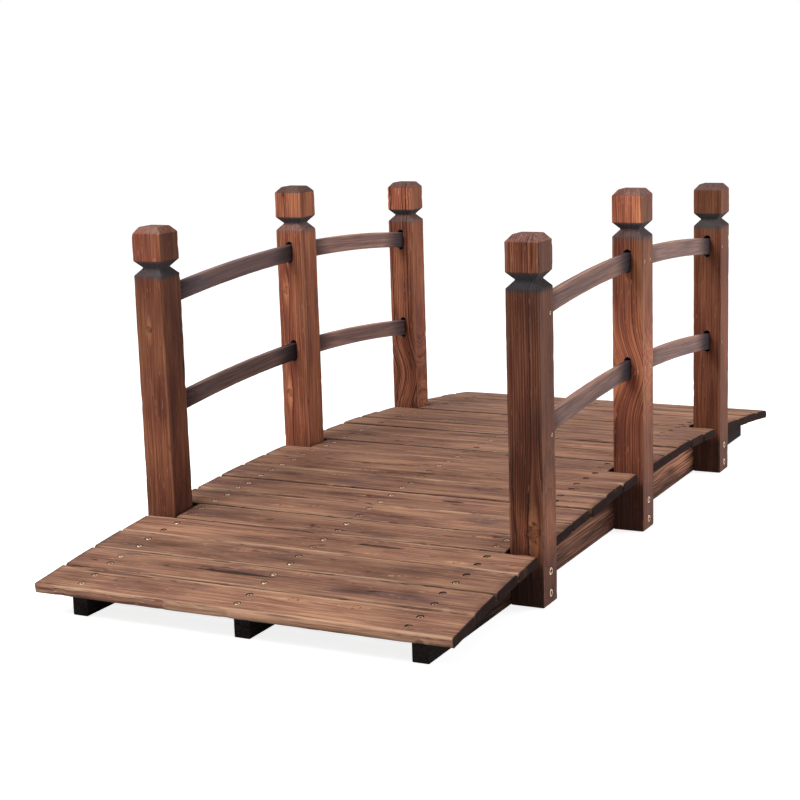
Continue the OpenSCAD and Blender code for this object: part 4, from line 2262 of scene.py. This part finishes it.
@dataclass
class Studio:
    """Pale floor, soft light and the camera at the photograph's angle.

    floor_white is a little over white, so that the floor meets the sky without an edge.
    """

    lamps: tuple[Lamp, ...] = (
        Lamp("lamp_front", (-2.2, 1.2, 3.2), 2.2, 114),
        Lamp("lamp_right", (1.3, -2.3, 0.9), 1.6, 33),
    )
    lamp_aim: tuple[float, float, float] = (0.0, 0.0, 0.2)
    floor_size: float = 60.0
    floor_gap: float = 0.4 * MM
    floor_grey: float = 0.82
    floor_white: float = 1.02
    sky: float = 0.22
    camera_place: tuple[float, float, float] = (-2.6618, -1.2378, 0.7759)
    camera_aim: tuple[float, float, float] = (-0.2265, 0.0, 0.2366)
    camera_roll: float = math.radians(-1.79)
    lens: float = 79.16
    sensor_width: float = 36.0

    @property
    def floor_glow(self) -> float:
        """What the floor lacks to white where only the sky lights it."""
        return self.floor_white - self.floor_grey * self.sky

    def build_floor(self) -> None:
        """Lays a level floor that glows for the camera, up to white where nothing shades it."""
        half = self.floor_size / 2
        low = -self.floor_gap
        corners = np.array([[-half, -half, low], [half, -half, low], [half, half, low], [-half, half, low]])
        floor = mesh_object("floor", corners, np.array([[0, 1, 2, 3]]), {})
        bench = Bench(bpy.data.materials.new("floor_paint"))
        paint = {"Color": (self.floor_grey, self.floor_grey, self.floor_grey, 1)}
        glow = {"Strength": bench.times(self.seen(bench), self.floor_glow)}
        both = bench.node("ShaderNodeAddShader")
        bench.put(both.inputs[0], bench.fill(bench.node("ShaderNodeBsdfDiffuse"), paint))
        bench.put(both.inputs[1], bench.fill(bench.node("ShaderNodeEmission"), glow))
        floor.data.materials.append(bench.finish(both.outputs[0]))

    def seen(self, bench: Bench) -> Socket:
        """Tells the rays that show the background: from the camera, off gloss or through glass.

        Args:
            bench: bench of the floor's paint or of the sky.

        Returns:
            1 for such a ray and 0 for others.
        """
        path = bench.node("ShaderNodeLightPath").outputs
        gloss = bench.math("MAXIMUM", path["Is Glossy Ray"], path["Is Transmission Ray"])
        return bench.math("MAXIMUM", path["Is Camera Ray"], gloss)

    def build_sky(self) -> None:
        """White world: plain light on the bridge, and full white where it shows."""
        world = bpy.data.worlds.new("studio_sky")
        bpy.context.scene.world = world
        bench = Bench(world)
        light = {"Color": (1, 1, 1, 1), "Strength": bench.span(self.seen(bench), 0.0, 1.0, self.sky, 1.0)}
        bench.finish(bench.fill(bench.node("ShaderNodeBackground"), light), "ShaderNodeOutputWorld")

    def build_lamp(self, lamp: Lamp) -> None:
        """Hangs a lamp and turns it to the bridge.

        Args:
            lamp: the lamp.
        """
        light = bpy.data.lights.new(lamp.name, "AREA")
        light.size = lamp.size
        light.energy = lamp.power
        holder = bpy.data.objects.new(lamp.name, light)
        holder.location = lamp.place
        sight = Vector(self.lamp_aim) - Vector(lamp.place)
        holder.rotation_euler = sight.to_track_quat("-Z", "Y").to_euler()
        bpy.context.scene.collection.objects.link(holder)

    def build_camera(self) -> None:
        """Stands the camera where the photograph was taken from, with its small roll."""
        camera = bpy.data.cameras.new("camera")
        camera.lens = self.lens
        camera.sensor_width = self.sensor_width
        holder = bpy.data.objects.new("camera", camera)
        sight = Vector(self.camera_aim) - Vector(self.camera_place)
        look = sight.to_track_quat("-Z", "Y").to_matrix().to_4x4()
        roll = Matrix.Rotation(self.camera_roll, 4, "Z")
        holder.matrix_world = Matrix.Translation(self.camera_place) @ look @ roll
        bpy.context.scene.collection.objects.link(holder)
        bpy.context.scene.camera = holder

    def build(self) -> None:
        """Sets up floor, sky, lamps and camera."""
        self.build_floor()
        self.build_sky()
        for lamp in self.lamps:
            self.build_lamp(lamp)
        self.build_camera()
        bpy.context.scene.view_settings.view_transform = "Standard"


def main() -> None:
    """Builds the bridge piece by piece."""
    logging.basicConfig(level=logging.INFO, format="%(name)s %(message)s")
    Studio().build()
    deck = Deck()
    deck.build()
    deck.dress(DECK_WOOD.material())
    stringers = Stringers(deck)
    stringers.build()
    stringers.dress(STRINGER_WOOD.material())
    railing = Railing(deck)
    railing.build_posts()
    railing.build_rails()
    railing.dress(POST_WOOD.material(), RAIL_WOOD.material())
    steel = SCREW_STEEL.material()
    screws = Screws()
    for name, boards, radius in (
        ("deck_screws", deck.planks, deck.screw_radius),
        ("rail_screws", railing.posts, railing.rail_screw.head),
        ("post_screws", railing.posts, railing.base_screw.head),
    ):
        attach(screws.build(name, boards, radius), steel, "screw_steel")


if __name__ == "__main__":
    main()
